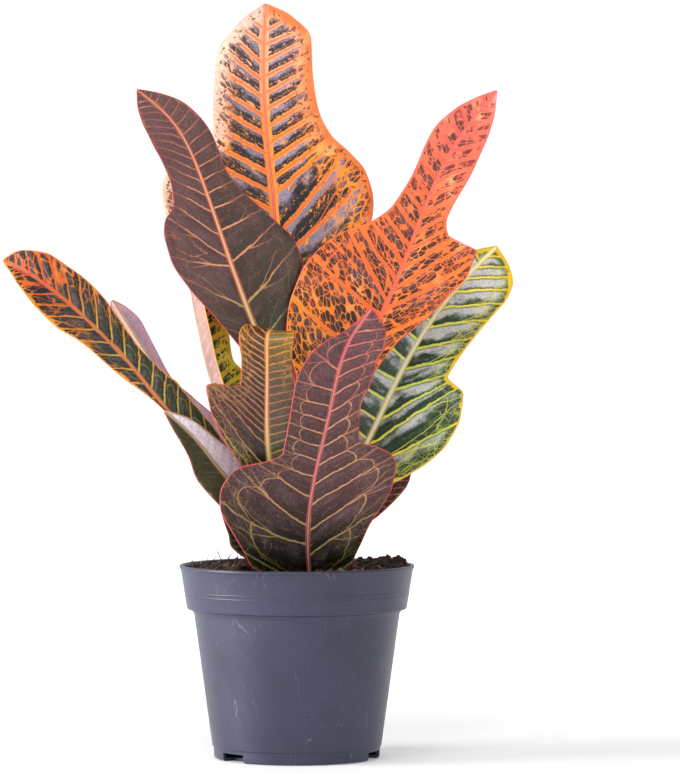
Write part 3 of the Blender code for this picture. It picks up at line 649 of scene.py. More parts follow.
STYLES = {
    "leaf_top_back": dict(
        PLAIN,
        left=[(0, 0.03, 0.4), (1, 0.12, 0.5), (2, 0.2, 0.7), (3, 0.3, 0.75), (4, 0.36, 0.6),
              (14, 0.92, 0.8), (16, 1, 0.9)],
        right=[(0, 0.03, 0.3), (1, 0.12, 0.55), (2, 0.2, 0.8), (3, 0.28, 1.0), (4, 0.41, 0.68),
               (5, 0.465, 0.5), (14, 0.92, 0.45), (16, 1, 0.5)], curl=0.001, panel=(1.0, 1.7),
        inner=(2.2, 2.8), outer=(4.5, 9.0), breaks=(0.35, 0.41), grain=(0.5, 0.2), flecks=0.85,
        threads=0.6, mosaic=(3.4, 1.3, 1.3), mosaic_zone=(1, 0, 0.55, 0.75), vein_width=0.55,
        loop_share=0.3, net_share=0.5, border_width=(1.6, 1.1), core=0.35, margin_width=0.5,
        # Strong lilac sheen on the panels here, lying on each panel's side towards the tip: a painted
        # highlight.
        painted_sheen_share=0.85, painted_sheen_slant=0.5, ground=((252, 166, 30), (255, 148, 48), (255, 172, 128)),
        dark=((34, 32, 36), (38, 38, 42), (66, 58, 64)),
        vein=((238, 96, 50), (245, 115, 40), (236, 120, 80)),
        net=((245, 120, 40), (248, 130, 45), (240, 140, 100)),
        rib=((222, 70, 56), (214, 52, 50), (226, 84, 76)),
        border=((250, 150, 60), (250, 140, 55), (245, 150, 100)), margin=(240, 150, 130),
        painted_sheen_colour=(156, 146, 168), wash=(((255, 214, 190), -1, 12.0, 3.0), ((244, 118, 50), 1, 8.0, 2.0)),
        under=((176, 120, 116), (200, 146, 134)),
    ),
    "leaf_upper_left": dict(
        PLAIN,
        left=[(0, 0.02, 0.7), (1, 0.13, 0.8), (2, 0.24, 0.9), (3, 0.375, 0.4), (4, 0.4, 1.2),
              (5, 0.475, 1.15), (6, 0.55, 1.0), (16, 0.92, 1.1), (19, 1, 1.1)],
        right=[(0, 0.02, 0.5), (1, 0.13, 0.5), (2, 0.25, 0.5), (3, 0.386, 0.38), (4, 0.49, 0.1),
               (5, 0.56, 0.08), (15, 0.93, 0.25), (18, 1, 0.3)], seed=2.3, threads=0.45,
        vein_width=0.22, vein_share=0.8, fade_out=(0.8, 0.45), loop_share=0.1, net_share=0.2,
        rib_width=(1.2, 0.5), margin_width=0.55, speck_share=0.6,
        ground=((104, 92, 54), (140, 80, 66), (150, 74, 66)),
        dark=((64, 50, 36), (94, 62, 60), (104, 70, 70)),
        dark_right=((50, 46, 28), (68, 48, 40), (94, 64, 60)),
        vein=((150, 150, 70), (222, 150, 104), (150, 88, 80)),
        net=((120, 110, 60), (140, 95, 75), (130, 85, 75)),
        rib=((215, 190, 120), (226, 145, 92), (222, 120, 84)),
        border=((150, 110, 70), (176, 90, 70), (170, 76, 68)), margin=(178, 52, 70),
        painted_sheen_colour=(132, 100, 108), under=PURPLE_UNDER,
    ),
    "leaf_upper_right": dict(
        PLAIN,
        left=[(0, 0.02, -0.2), (1, 0.12, 0), (2, 0.23, 0.1), (3, 0.34, 0.2), (4, 0.38, 0.75),
              (5, 0.44, 0.62), (6, 0.49, 0.55), (16, 0.92, 0.6), (19, 1, 0.7)],
        right=[(0, 0.05, 0.6), (1, 0.15, 0.8), (2, 0.27, 0.95), (3, 0.36, 1.0), (4, 0.42, 1.1),
               (15, 0.93, 1.1), (17, 1, 1.1)], seed=3.1, panel=(0.8, 1.4), inner=(0.7, 1.4),
        outer=(0.8, 2.2), breaks=(0.2, 0.32), grain=(0.3, 0.12), threads=0.5, mosaic=(2.9, 1.3, 1.55),
        mosaic_tip=0.95, mosaic_gap=(0.0, 0.08), mosaic_round=(0.78, 0.58), vein_width=0.5,
        net_share=0.3, rib_width=(0.85, 0.4), core=0.1, painted_sheen_share=0.3,
        ground=((250, 150, 34), (240, 114, 48), (234, 104, 82)),
        dark=((46, 40, 24), (60, 38, 30), (116, 52, 42)),
        vein=((246, 120, 36), (240, 96, 44), (225, 84, 74)),
        net=((250, 150, 45), (245, 118, 60), (230, 100, 90)),
        rib=((228, 100, 72), (226, 92, 76), (226, 92, 88)),
        border=((240, 110, 70), (235, 100, 70), (226, 90, 84)), margin=(214, 84, 92),
        painted_sheen_colour=(140, 110, 120), under=((178, 104, 104), (200, 128, 120)),
    ),
    "leaf_front": dict(
        PLAIN,
        left=[(0, 0.03, 0.5), (1, 0.17, 0.25), (2, 0.23, 0.5), (3, 0.33, 0.3), (4, 0.4, 0.05),
              (10, 0.69, 0.0), (11, 0.76, 0.3), (12, 0.88, 0.1), (15, 0.99, 0.5)],
        right=[(0, 0.02, 0.5), (1, 0.13, 0.7), (2, 0.21, 0.85), (3, 0.3, 0.85), (4, 0.37, 0.85),
               (13, 0.9, 0.9), (15, 1, 0.9)], seed=4.7, threads=0.35, vein_width=0.18, vein_share=0.85,
        loop=(4.2, 0.32), loop_share=0.75, net_size=5.5, net_width=0.03, net_share=0.2,
        rib_width=(0.95, 0.5), border_width=(0.2, 0.1), margin_width=0.7, coat=0.0, gloss=0.15,
        ground=((110, 104, 66), (140, 96, 80), (170, 92, 88)),
        dark=((10, 8, 3), (86, 60, 60), (106, 74, 78)),
        vein=((126, 120, 56), (200, 146, 108), (216, 122, 106)),
        net=((150, 155, 80), (185, 150, 100), (190, 120, 100)),
        rib=((122, 34, 40), (196, 76, 92), (220, 92, 108)),
        border=((120, 50, 44), (176, 84, 82), (200, 90, 95)), margin=(206, 74, 88),
        painted_sheen_colour=(140, 112, 122), under=PURPLE_UNDER,
    ),
    "leaf_front_small": dict(
        PLAIN,
        left=[(0, 0.01, 1.0), (1, 0.06, 1.3), (2, 0.14, 1.3), (3, 0.27, 1.0), (4, 0.32, 0.9),
              (17, 0.74, 0.6), (24, 1, 0.5)],
        right=[(0, 0.02, 0.5), (1, 0.1, 0.4), (2, 0.18, 0.3), (3, 0.23, 0.25), (16, 0.74, 0.2),
               (22, 1, 0.2)], curl=0.002, seed=5.2, threads=0.1, vein_width=0.18, vein_share=0.55,
        fade_out=(0.95, 0.4), loop_share=0.4, net_size=3.6, net_width=0.055, net_share=0.6,
        ground=((130, 124, 60), (140, 90, 66), (220, 150, 40)),
        dark=((40, 26, 16), (64, 36, 28), (90, 48, 34)),
        dark_right=((70, 70, 26), (84, 72, 54), (130, 104, 42)),
        vein=((206, 186, 80), (176, 108, 74), (236, 150, 60)),
        net=((190, 180, 70), (180, 130, 80), (240, 170, 40)),
        rib=((215, 205, 100), (228, 165, 112), (240, 170, 60)),
        border=((180, 160, 80), (180, 110, 76), (200, 130, 60)), margin=(205, 62, 66),
        under=PURPLE_UNDER,
    ),
    "leaf_left_long": dict(
        PLAIN, left=[(0, 0.03, 0.8), (14, 0.8, 0.9), (18, 1, 0.8)],
        right=[(0, 0.03, 0.9), (12, 0.75, 1.0), (17, 1, 0.8)], seed=6.6, outer=(0.3, 1.2),
        mosaic=(4.8, 1.3, 1.6), mosaic_zone=(0.3, 1, 0.75, 1.0), mosaic_gap=(0.0, 0.07),
        mosaic_round=(0.85, 0.65), vein_width=0.34, loop_share=0.3, net_share=0.15,
        rib_width=(0.9, 0.4), border_width=(0.3, 0.3),
        ground=((150, 150, 70), (232, 150, 56), (244, 116, 50)),
        # The left half, the lower one, is grey and paler towards the base, unlike the right half's green: a
        # painted bluish-grey glare on the leaf's dark panels.
        dark=((84, 88, 84), (62, 66, 66), (42, 46, 48)),
        dark_right=((52, 62, 46), (52, 60, 50), (50, 58, 52)),
        vein=((190, 186, 84), (205, 180, 76), (235, 92, 52)),
        net=((64, 74, 54), (150, 110, 60), (242, 100, 50)),
        rib=((226, 160, 110), (232, 112, 78), (226, 84, 62)),
        border=((170, 110, 70), (170, 80, 60), (205, 80, 55)), margin=(240, 150, 60),
        wash=(((250, 160, 50), -1, 3.5, 1.0),),
    ),
    "leaf_left_low": dict(
        PLAIN, left=[(0, 0.03, 0.8), (12, 1, 0.8)], right=[(0, 0.03, 0.8), (12, 1, 0.8)], seed=7.4,
        panel=(-1.0, -0.5), inner=(-1.0, -0.5), threads=0.1, vein_share=0.12, loop_share=0.0,
        net_share=0.1, painted_sheen_share=0.05, ground=((150, 140, 110),) * 3,
        dark=((48, 58, 30), (70, 68, 44), (70, 66, 46)),
        # dark_right paints the right half as it looks lit: the pale lilac towards the tip is painted glare, a
        # painted highlight, and the olive brown towards the base is painted shade.
        dark_right=((128, 110, 76), (206, 186, 194), (226, 208, 218)), vein=((150, 140, 104),) * 3,
        net=((150, 150, 80),) * 3, rib=((170, 130, 90),) * 3, border=((130, 110, 70),) * 3,
        margin=(204, 80, 70),
    ),
    "leaf_left_behind": dict(
        PLAIN, seed=8.8, dark=((50, 68, 52), (56, 70, 56), (62, 70, 60)), vein=((190, 160, 80),) * 3,
        net=((200, 120, 70),) * 3, margin=(196, 64, 78), under=((168, 130, 148), (204, 168, 186)),
    ),
    "leaf_back_left": dict(
        PLAIN, left=[(0, 0.02, 0.7), (15, 1, 0.8)], right=[(0, 0.02, 0.25), (17, 1, 0.4)], seed=9.5,
        panel=(0.9, 1.5), inner=(1.0, 2.0), outer=(1.2, 3.6), breaks=(0.32, 0.42), grain=(0.4, 0.3),
        flecks=0.8, threads=0.1, mosaic=(2.6, 1.3, 1.4), mosaic_zone=(1, 0, 0.4, 0.6),
        mosaic_gap=(0.05, 0.13), vein_width=0.6, net_share=0.3, painted_sheen_share=0.03,
        ground=((212, 214, 50), (226, 204, 38), (240, 140, 40)),
        dark=((30, 64, 22), (26, 56, 20), (44, 46, 24)),
        vein=((230, 210, 60), (236, 186, 40), (240, 120, 40)),
        net=((228, 205, 55), (236, 180, 40), (240, 130, 40)), rib=((225, 200, 90),) * 3,
        border=((225, 190, 60),) * 3, margin=(236, 180, 50), under=((164, 122, 112), (190, 146, 128)),
    ),
    "leaf_right": dict(
        PLAIN,
        left=[(0, 0.03, 0.3), (1, 0.12, 0.1), (2, 0.2, 0.05), (3, 0.27, 0.05), (12, 0.92, 0.3),
              (14, 1, 0.5)],
        right=[(0, 0.02, 0.6), (1, 0.08, 1.0), (2, 0.17, 1.5), (3, 0.27, 1.3), (4, 0.38, 0.9),
               (5, 0.465, 0.82), (9, 0.78, 1.0), (13, 1, 1.1)], curl=0.004, seed=10.1,
        panel=(0.25, 0.8), outer=(1.4, 3.0), threads=0.15, vein_width=0.4, loop=(5.0, 0.3),
        loop_share=0.5, net_width=0.06, net_share=0.75, net_zone=(0.5, 0.85), rib_width=(1.5, 0.8),
        # Strong white sheen on the panels, growing towards the tip: a painted highlight of the leaf's gloss.
        core=0.0, margin_width=1.1, painted_sheen_share=0.8, painted_sheen_base=-0.15, painted_sheen_tip=0.36, painted_sheen_slant=0.35,
        roughness=0.34, coat=0.4, ground=((190, 200, 60), (200, 210, 80), (232, 210, 60)),
        dark=((34, 58, 38), (36, 66, 44), (60, 92, 46)),
        vein=((244, 214, 50), (230, 240, 100), (255, 240, 110)),
        net=((190, 205, 60), (206, 212, 84), (232, 214, 60)),
        rib=((255, 218, 164), (255, 243, 205), (255, 248, 205)),
        border=((90, 110, 50), (200, 205, 100), (235, 225, 100)), margin=(242, 192, 30),
        painted_sheen_colour=(240, 244, 240), wash=(((250, 200, 30), 1, 5.0, 1.5),), under=GREEN_UNDER,
    ),
    "leaf_low_left": dict(
        PLAIN, seed=11.9, net_share=0.3, ground=((80, 90, 50),) * 3,
        dark=((30, 44, 30), (32, 48, 34), (38, 52, 36)), vein=((90, 104, 56),) * 3,
        net=((80, 96, 50),) * 3, rib=((130, 120, 70),) * 3, border=((80, 80, 50),) * 3,
        margin=(170, 70, 50),
    ),
    "leaf_low_right": dict(
        PLAIN, seed=12.4, net_share=0.3, dark=((48, 36, 34), (54, 40, 40), (60, 44, 46)),
        vein=((140, 74, 60),) * 3, net=((110, 70, 54),) * 3, margin=(186, 48, 48), under=PURPLE_UNDER,
    ),
    "leaf_back_right": dict(
        PLAIN, seed=13.6, net_share=0.6, ground=((190, 190, 80),) * 3,
        dark=((36, 60, 40), (38, 62, 44), (46, 66, 46)), vein=((215, 205, 80),) * 3,
        net=((200, 190, 70),) * 3, rib=((224, 180, 110),) * 3, border=((160, 150, 70),) * 3,
        margin=(232, 180, 60), under=GREEN_UNDER,
    ),
    "leaf_back_low": dict(
        PLAIN, seed=14.2, dark=((54, 46, 36), (68, 52, 50), (78, 58, 60)), vein=((200, 140, 95),) * 3,
        net=((170, 140, 90),) * 3, margin=(190, 64, 76), under=PURPLE_UNDER,
    ),
}


def along_blade(look, share, colours):
    """Colour that goes from the blade's base through its middle to its tip."""
    base, middle, tip = (linear(*colour) for colour in colours)
    lower = look.mix(base, middle, look.fade(share, 0.08, 0.45))
    return look.mix(lower, tip, look.fade(share, 0.5, 0.92))


def side_veins(look, style, seed):
    """What both faces read: distances in millimetres, and where the side veins run.

    `part` goes from 0 on a side vein to 1 on the next, so near = least(part, 1 - part) * gap is
    the distance to the nearest one. Near the margin the veins join in arches, where the edge
    distance is depth + roundness * gap * (2 * part - 1) ** 2. In wide panels a fork leaves
    each vein part-way and comes to the middle of the panel.
    """
    along, out, edge = look.split(look.attribute("blade"))
    number, _, gap = look.split(look.attribute("vein"))
    wide = abs(out)
    flat = look.join(along, out, seed)
    wander = look.noise(flat, 0.1, 2) - 0.5
    shiver = look.noise(flat, 0.7, 3) - 0.5
    phase = number + (wander * 2.4 + shiver * 0.8) / gap.most(3)
    part = phase % 1
    cell = look.node("ShaderNodeTexWhiteNoise", {"noise_dimensions": "2D"},
                     {"Vector": look.join(phase - part, seed)})
    near = part.least(1 - part) * gap
    arch = (part * 2 - 1) * (part * 2 - 1)
    depth, roundness = style["loop"]
    reach = wide / (wide + edge + 0.01)
    level = (wide + edge) * 0.12 + depth * 0.5 + cell * depth * 0.5 + arch * (gap.least(9)) * roundness
    loop = edge + wander * 2 + shiver - level
    fork_start = cell * 0.3 + 0.25
    climb = look.fade(reach, fork_start, fork_start + 0.6) * 0.46
    fork = abs(part - climb).least(abs(1 - climb * 0.8 - part)) * gap
    forked = look.fade(gap, 6, 10) * look.fade(reach, fork_start - 0.02, fork_start + 0.05)
    leans = [lean for _, _, lean in style["left"] + style["right"]]
    skew = look.join(along - wide * min(sum(leans) / len(leans), 0.9) + wander * 6, wide + wander * 5,
                     look.fade(out, -0.1, 0.1) * 9 + seed)
    return dict(skew=skew, out=out, edge=edge, wide=wide, flat=flat, wander=wander, shiver=shiver,
                phase=phase, part=part, near=near, gap=gap, reach=reach, loop=loop,
                fork=fork, forked=forked, share=along * (1 / style["length"]))


def leaf_upper(name, style):
    """Upper face: dark panels between branching veins, a midrib with a border, and a margin."""
    look = Look(name + "_upper", roughness=style["roughness"], coat=style["coat"])
    look.shader.inputs["Specular IOR Level"].default_value = style["gloss"]
    seed = style["seed"] * 40
    at = side_veins(look, style, seed)
    edge, wide, flat, share, reach = at["edge"], at["wide"], at["flat"], at["share"], at["reach"]
    wander, shiver = at["wander"], at["shiver"]

    across_grain, along_grain = style["grain"]
    grain = look.noise(look.join(at["phase"] * 6 * across_grain, wide * along_grain, seed), 1.0, 3, 0.6)
    mask = (look.fade(at["near"] + shiver, *style["panel"]) * look.fade(wide + wander * 1.5, *style["inner"])
            * look.fade(grain, *style["breaks"]))
    spread = look.fade(at["gap"], 6, 11, 1.0, 3.0)
    mask = mask * look.fade(edge * spread + wander * 5 + shiver * 2, *style["outer"])
    if style["mosaic"]:
        size, stretch, kept = style["mosaic"]
        tiles = look.node("ShaderNodeVectorMath", {"operation": "MULTIPLY"},
                          {0: at["skew"], 1: (1 / size, 1 / (size * stretch), 1)})
        rim_of_tile = look.cells(tiles, 1.0, "DISTANCE_TO_EDGE")
        lot = look.split(look.cells(tiles, 1.0, "F1", "Color"))[0]
        drawn = look.noise(flat, 0.12, 2) * 1.4 - 0.7
        stays = look.fade(lot + drawn + share * style["mosaic_tip"], kept + 0.12, kept)
        by_reach, by_share, start, end = style["mosaic_zone"]
        zone = look.fade(reach * by_reach + share * by_share + wander * 0.6, start, end)
        middle = look.cells(tiles, 1.0, "F1", "Distance")
        rounding = look.fade(middle + shiver * 0.25, *style["mosaic_round"])
        tiled = look.fade(rim_of_tile + shiver * 0.12 + drawn * 0.04, *style["mosaic_gap"]) * stays * rounding
        mask = mask * (tiled * zone + (1 - zone))
    if style["flecks"]:
        spots = look.noise(flat, 0.42, 2, 0.5)
        zone = look.fade(edge + wander * 2, 0.8, 2.0) * look.fade(reach, 0.3, 0.6)
        mask = mask.most(look.fade(spots, 0.57, 0.63) * zone * style["flecks"])

    ground = along_blade(look, share, style["ground"])
    for tint, side, start, end in style["wash"]:
        washed = look.fade(edge + wander * 5, start, end) * look.fade(at["out"] * side, -0.5, 0.0)
        ground = look.mix(ground, linear(*tint), washed)
    glow = look.noise(flat, 0.09, 2)
    ground = look.mix(ground, look.mix(ground, (1.0, 0.78, 0.3), 0.55), look.fade(glow, 0.55, 0.75) * 0.5)
    dark = along_blade(look, share, style["dark"])
    if style["dark_right"]:
        dark_right = along_blade(look, share, style["dark_right"])
        dark = look.mix(dark, dark_right, look.fade(at["out"], -0.5, 1.5))
    # Painted highlight: cloud, streak and each panel's place make a pale sheen painted on the dark panels, in
    # place of gloss catching the light, lighter on each panel's side towards the tip as if lit from above.
    cloud = look.noise(flat, 0.07, 3, 0.6)
    mottle = look.noise(flat, 0.9, 3, 0.7)
    streak = look.noise(look.join(at["phase"] * 2.2, wide * 0.09, seed), 1.0, 2, 0.5)
    lit = (cloud * 0.4 + style["painted_sheen_base"] + streak * 0.6 + (mottle - 0.5) * 0.12
           + share * style["painted_sheen_tip"] + (at["part"] - 0.6) * style["painted_sheen_slant"])
    sheen = look.fade(lit, 0.42, 0.62) * look.fade(at["near"], 0.4, 1.8) * look.fade(edge, 2.0, 6.0)
    dark = look.mix(dark, linear(*style["painted_sheen_colour"]), sheen * look.fade(share, 0.0, 0.3) * style["painted_sheen_share"])
    dark = look.mix(dark, (0.0, 0.0, 0.0), look.fade(mottle, 0.6, 0.4) * 0.25)
    hairline = (at["phase"] * 3 + shiver * 0.6 + 0.5) % 1
    thread = look.fade(abs(hairline - 0.5), 0.2, 0.05) * look.fade(grain + mottle, 0.95, 1.15)
    dark = look.mix(dark, along_blade(look, share, style["ground"]), thread * style["threads"])
    colour = look.mix(ground, dark, mask)

    inside = look.fade(at["loop"], -0.4, 0.4)
    net = look.cells(at["skew"], 1 / style["net_size"], "DISTANCE_TO_EDGE")
    fine_net = look.cells(at["skew"], 1.8 / style["net_size"], "DISTANCE_TO_EDGE")
    net_width = style["net_width"]
    net_line = look.fade(net, net_width * 1.6, net_width * 0.3)
    fine_line = look.fade(fine_net, net_width * 1.6, 0.0) * look.fade(at["loop"], 0.5, -1.0) * 0.7
    patch = look.fade(look.noise(flat, 0.08, 2), 0.35, 0.6, 0.25, 1.0)
    net_mask = net_line.most(fine_line) * patch * look.fade(reach, *style["net_zone"]) * style["net_share"]
    colour = look.mix(colour, along_blade(look, share, style["net"]), net_mask)

    width = look.fade(reach, 0.0, 1.0, style["vein_width"] * 1.3, style["vein_width"] * 0.3) * look.fade(
        at["gap"], 4, 14, 0.8, 1.5)
    fading = look.fade(reach + wander * 0.5, *style["fade_out"]) * style["vein_share"]
    vein = look.fade(at["near"] - width, 0.3, -0.05) * fading * (inside * 0.8 + 0.2)
    branch = look.fade(at["fork"] - width * 0.5, 0.25, -0.05) * at["forked"] * fading * 0.8
    arches = look.fade(abs(at["loop"]), 0.42, 0.1) * style["loop_share"] * look.fade(share, 0.98, 0.9)
    vein = vein.most(branch).most(arches * look.fade(glow, 0.3, 0.5, 0.4, 1.0))
    colour = look.mix(colour, along_blade(look, share, style["vein"]), vein)

    border_start, border_end = style["border_width"]
    rib_start, rib_end = style["rib_width"]
    border_width = look.fade(share, 0.0, 1.0, border_start + rib_start, border_end + rib_end)
    border = look.fade(wide + shiver * 0.8 - border_width, 0.35, -0.5) * 0.8
    colour = look.mix(colour, along_blade(look, share, style["border"]), border)
    rib_width = look.fade(share, 0.0, 1.0, rib_start * 0.7, rib_end * 0.7)
    rib = look.fade(wide - rib_width, 0.25, -0.1)
    rib_colour = along_blade(look, share, style["rib"])
    core = look.fade(wide - rib_width * 0.45, 0.15, -0.1) * style["core"]
    colour = look.mix(colour, look.mix(rib_colour, (1.0, 0.72, 0.55), core), rib)

    rim = look.fade(edge + shiver * 0.5, style["margin_width"], style["margin_width"] * 0.35)
    rim = rim * look.fade(share, 0, 0.03) * look.fade(glow + shiver * 0.4, 0.3, 0.55, 0.35, 0.95)
    colour = look.mix(colour, linear(*style["margin"]), rim)
    dots = look.cells(flat, 0.6, "F1")
    speck = look.fade(dots, 0.14, 0.06) * look.fade(look.noise(flat, 0.2, 1), 0.5, 0.62)
    colour = look.mix(colour, linear(*style["speck"]), speck * style["speck_share"])

    relief = mottle * 0.2 - vein * 0.5 - net_mask * 0.25
    roughness = look.noise(flat, 0.4, 2, 0.5) * 0.16 + (style["roughness"] - 0.08)
    return look.finish(Base_Color=colour, Roughness=roughness, Normal=look.bump(relief, 0.3, 0.0003))


def leaf_under(name, style):
    """Underside: dull mauve with a pale raised midrib and faint side veins."""
    look = Look(name + "_under", roughness=0.55)
    at = side_veins(look, style, style["seed"] * 40)
    cloud = look.noise(at["flat"], 0.09, 3, 0.6)
    colour = look.mix(linear(*style["under"][0]), linear(*style["under"][1]), look.fade(cloud, 0.3, 0.7))
    net = look.cells(at["skew"], 0.3, "DISTANCE_TO_EDGE")
    lines = look.fade(net, 0.07, 0.0) * 0.4
    vein = look.fade(at["near"], 0.7, 0.25) * look.fade(at["reach"], 1.0, 0.6)
    vein = vein.most(look.fade(at["fork"], 0.5, 0.2) * at["forked"])
    vein = vein.most(look.fade(abs(at["loop"]), 0.5, 0.2) * 0.6)
    colour = look.mix(colour, linear(*style["under_vein"]), lines.most(vein) * 0.7)
    colour = look.mix(colour, linear(*style["under_rib"]), look.fade(at["wide"], 1.8, 1.2))
    rim = look.fade(at["edge"], style["margin_width"] + 0.3, 0.2)
    colour = look.mix(colour, linear(*style["margin"]), rim)
    relief = lines * 0.4 + vein * 0.8 + look.noise(at["flat"], 1.2, 3) * 0.2
    return look.finish(Base_Color=colour, Normal=look.bump(relief, 0.4, 0.0004))


def make_leaves():
    """Every leaf with its own two looks, in place of its node."""
    for name, leaf in LEAVES.items():
        blade_length = Spine(leaf["spine"], leaf["face"]).length * (1 - leaf["stalk"])
        style = dict(STYLES[name], length=blade_length)
        piece = make_leaf(name, leaf, style, leaf_upper(name, style), leaf_under(name, style))
        stand_for(piece, name)


# ---------------------------------------------------------------------------------------
# Pot
# ---------------------------------------------------------------------------------------

POT_HEIGHT = 98.5
RIM_RADIUS = 60.0
LIP = 0.7
BAND_HEIGHT = 22.5
BAND_FOOT_RADIUS = 56.2
BODY_TOP_RADIUS = 52.5
BASE_RADIUS = 42.3
FOOT_HEIGHT = 6.0
FOOT_STEP = 0.5
WALL = 1.2
FLOOR = 1.6
POT_SIDES = 288
NOTCH_HEIGHT = 4.3
NOTCH_WIDTH = 16.0
NOTCH_REACH = 9.0
NOTCH_ANGLES = (-20.0, -140.0, 100.0)


def rounded(corners, radius, arc_steps=4):
    """Outline through the corners with each one replaced by a quadratic curve that starts and
    ends at most `radius` from the corner, and at most half-way along its sides."""
    corners = np.array(corners, float)
    outline = [corners[0]]
    for before, corner, after in zip(corners, corners[1:], corners[2:]):
        ends = []
        for other in (before, after):
            span = np.linalg.norm(other - corner)
            ends.append(corner + (other - corner) * min(radius / span, 0.45))
        for t in np.linspace(0, 1, arc_steps + 1):
            outline.append((1 - t) ** 2 * ends[0] + 2 * t * (1 - t) * corner + t ** 2 * ends[1])
    outline.append(corners[-1])
    return np.array(outline)


def subdivided(outline, longest):
    """The outline with no side longer than `longest`."""
    pieces = [outline[:1]]
    for start, end in zip(outline, outline[1:]):
        count = max(1, math.ceil(np.linalg.norm(end - start) / longest))
        pieces.append(start + (end - start) * np.linspace(0, 1, count + 1)[1:, None])
    return np.concatenate(pieces)


def turned(name, outline, sides, look, warp=None):
    """Closed solid turned about Z: point (r, z) at angle t is (r cos t, r sin t, z).

    The outline starts and ends on the axis, where the ring is one vertex.
    """
    turns = np.arange(sides) * math.tau / sides
    radii, heights = outline[1:-1, :1], outline[1:-1, 1:]
    points = np.stack([radii * np.cos(turns), radii * np.sin(turns), heights + 0 * turns], axis=-1)
    if warp is not None:
        points = warp(points)
    rows = len(points)
    grid = np.arange(rows * sides).reshape(rows, sides)
    ahead = np.roll(grid, -1, axis=1)
    quads = np.stack([grid[:-1], ahead[:-1], ahead[1:], grid[1:]], axis=-1).reshape(-1, 4)
    first, last = rows * sides, rows * sides + 1
    caps = np.concatenate([np.stack([ahead[0], grid[0], np.full(sides, first)], axis=1),
                           np.stack([grid[-1], ahead[-1], np.full(sides, last)], axis=1)])
    poles = [(0, 0, outline[0, 1]), (0, 0, outline[-1, 1])]
    verts = np.concatenate([points.reshape(-1, 3), np.array(poles)]) * MM
    mesh_data = bpy.data.meshes.new(name)
    mesh_data.from_pydata(verts.tolist(), [], quads.tolist() + caps.tolist())
    mesh_data.materials.append(look)
    mesh_data.shade_smooth()
    piece = bpy.data.objects.new(name + "_visual", mesh_data)
    bpy.context.scene.collection.objects.link(piece)
    return piece


def pot_section():
    """Half section of the pot from the underside's centre round to the floor's centre."""
    band_foot = POT_HEIGHT - BAND_HEIGHT
    slope = (RIM_RADIUS - LIP - BAND_FOOT_RADIUS) / BAND_HEIGHT

    def band(height):
        return BAND_FOOT_RADIUS + slope * (height - band_foot)

    mould = []
    for height in (band_foot + 9.4, band_foot + 7.4):
        mould += [(band(height - 0.35), height - 0.35), (band(height) + 0.16, height),
                  (band(height + 0.35), height + 0.35)]
    mould = sorted(mould, key=lambda corner: corner[1])
    outside = [
        (0, 0.0), (BASE_RADIUS - 12, 0.0), (BASE_RADIUS - 1, 0.0), (BASE_RADIUS, 0.9),
        (BASE_RADIUS + FOOT_STEP / 2, FOOT_HEIGHT), (BASE_RADIUS + FOOT_STEP + 0.4, FOOT_HEIGHT + 0.3),
        (BASE_RADIUS + FOOT_STEP + 0.45, FOOT_HEIGHT + 0.9),
        (BODY_TOP_RADIUS, band_foot - 2.2), (BODY_TOP_RADIUS + 1.2, band_foot - 0.5),
        (BAND_FOOT_RADIUS - 0.9, band_foot - 0.1), (BAND_FOOT_RADIUS - 0.15, band_foot + 0.25),
        (BAND_FOOT_RADIUS, band_foot + 1),
    ] + mould + [
        (RIM_RADIUS - LIP, POT_HEIGHT - 2.1), (RIM_RADIUS - 0.1, POT_HEIGHT - 1.7),
        (RIM_RADIUS, POT_HEIGHT - 0.9), (RIM_RADIUS - 0.3, POT_HEIGHT - 0.1),
        (RIM_RADIUS - 1.0, POT_HEIGHT), (RIM_RADIUS - LIP - WALL, POT_HEIGHT - 0.5),
    ]
    inside = [
        (BAND_FOOT_RADIUS - WALL, band_foot + WALL), (BODY_TOP_RADIUS - WALL, band_foot - 0.3),
        (BASE_RADIUS + FOOT_STEP - WALL, FOOT_HEIGHT + 0.6), (BASE_RADIUS - WALL - 0.5, FLOOR), (0, FLOOR),
    ]
    return subdivided(rounded(outside + inside, 0.35, 3), 4.0)


def pot_look():
    """Grey-blue plastic, cloudy and scuffed, with dust and a little soil at the rim."""
    look = Look("pot_plastic", roughness=0.42, coat=0.15)
    place = look.place()
    x, y, z = look.split(place)
    cloud = look.noise(place, 26, 4, 0.6)
    base = look.mix(linear(44, 45, 68), linear(55, 57, 84), look.fade(cloud, 0.3, 0.72))
    streaks = look.noise(look.join(x * 900, y * 900, z * 60), 1.0, 3, 0.6)
    base = look.mix(base, linear(104, 106, 124), look.fade(streaks, 0.58, 0.78) * 0.18)
    scratch_field = look.noise(look.join(x * 120, y * 120, z * 14), 1.0, 1, 0.5, 0.6)
    scratch = look.fade(abs(scratch_field - 0.5), 0.004, 0.0) * look.fade(look.noise(place, 40, 2), 0.5, 0.62)
    dust = look.cells(place, 420)
    dust_zone = look.fade(look.noise(place, 55, 2), 0.52, 0.68)
    dust_mask = look.fade(dust, 0.16, 0.07) * dust_zone
    colour = look.mix(base, linear(140, 142, 158), scratch * 0.5)
    colour = look.mix(colour, linear(170, 165, 160), dust_mask * 0.4)
    soil_line = look.fade(z, (POT_HEIGHT - 3.5) * MM, (POT_HEIGHT - 0.5) * MM) * look.fade(
        look.noise(place, 160, 3), 0.55, 0.7)
    colour = look.mix(colour, linear(88, 76, 68), soil_line * 0.5)
    roughness = look.fade(cloud, 0.2, 0.8, 0.4, 0.52) + scratch * 0.2 + dust_mask * 0.3
    relief = look.noise(place, 900, 3, 0.6) * 0.4 + scratch * -0.5
    return look.finish(Base_Color=colour, Roughness=roughness, Normal=look.bump(relief, 0.12, 0.0003))


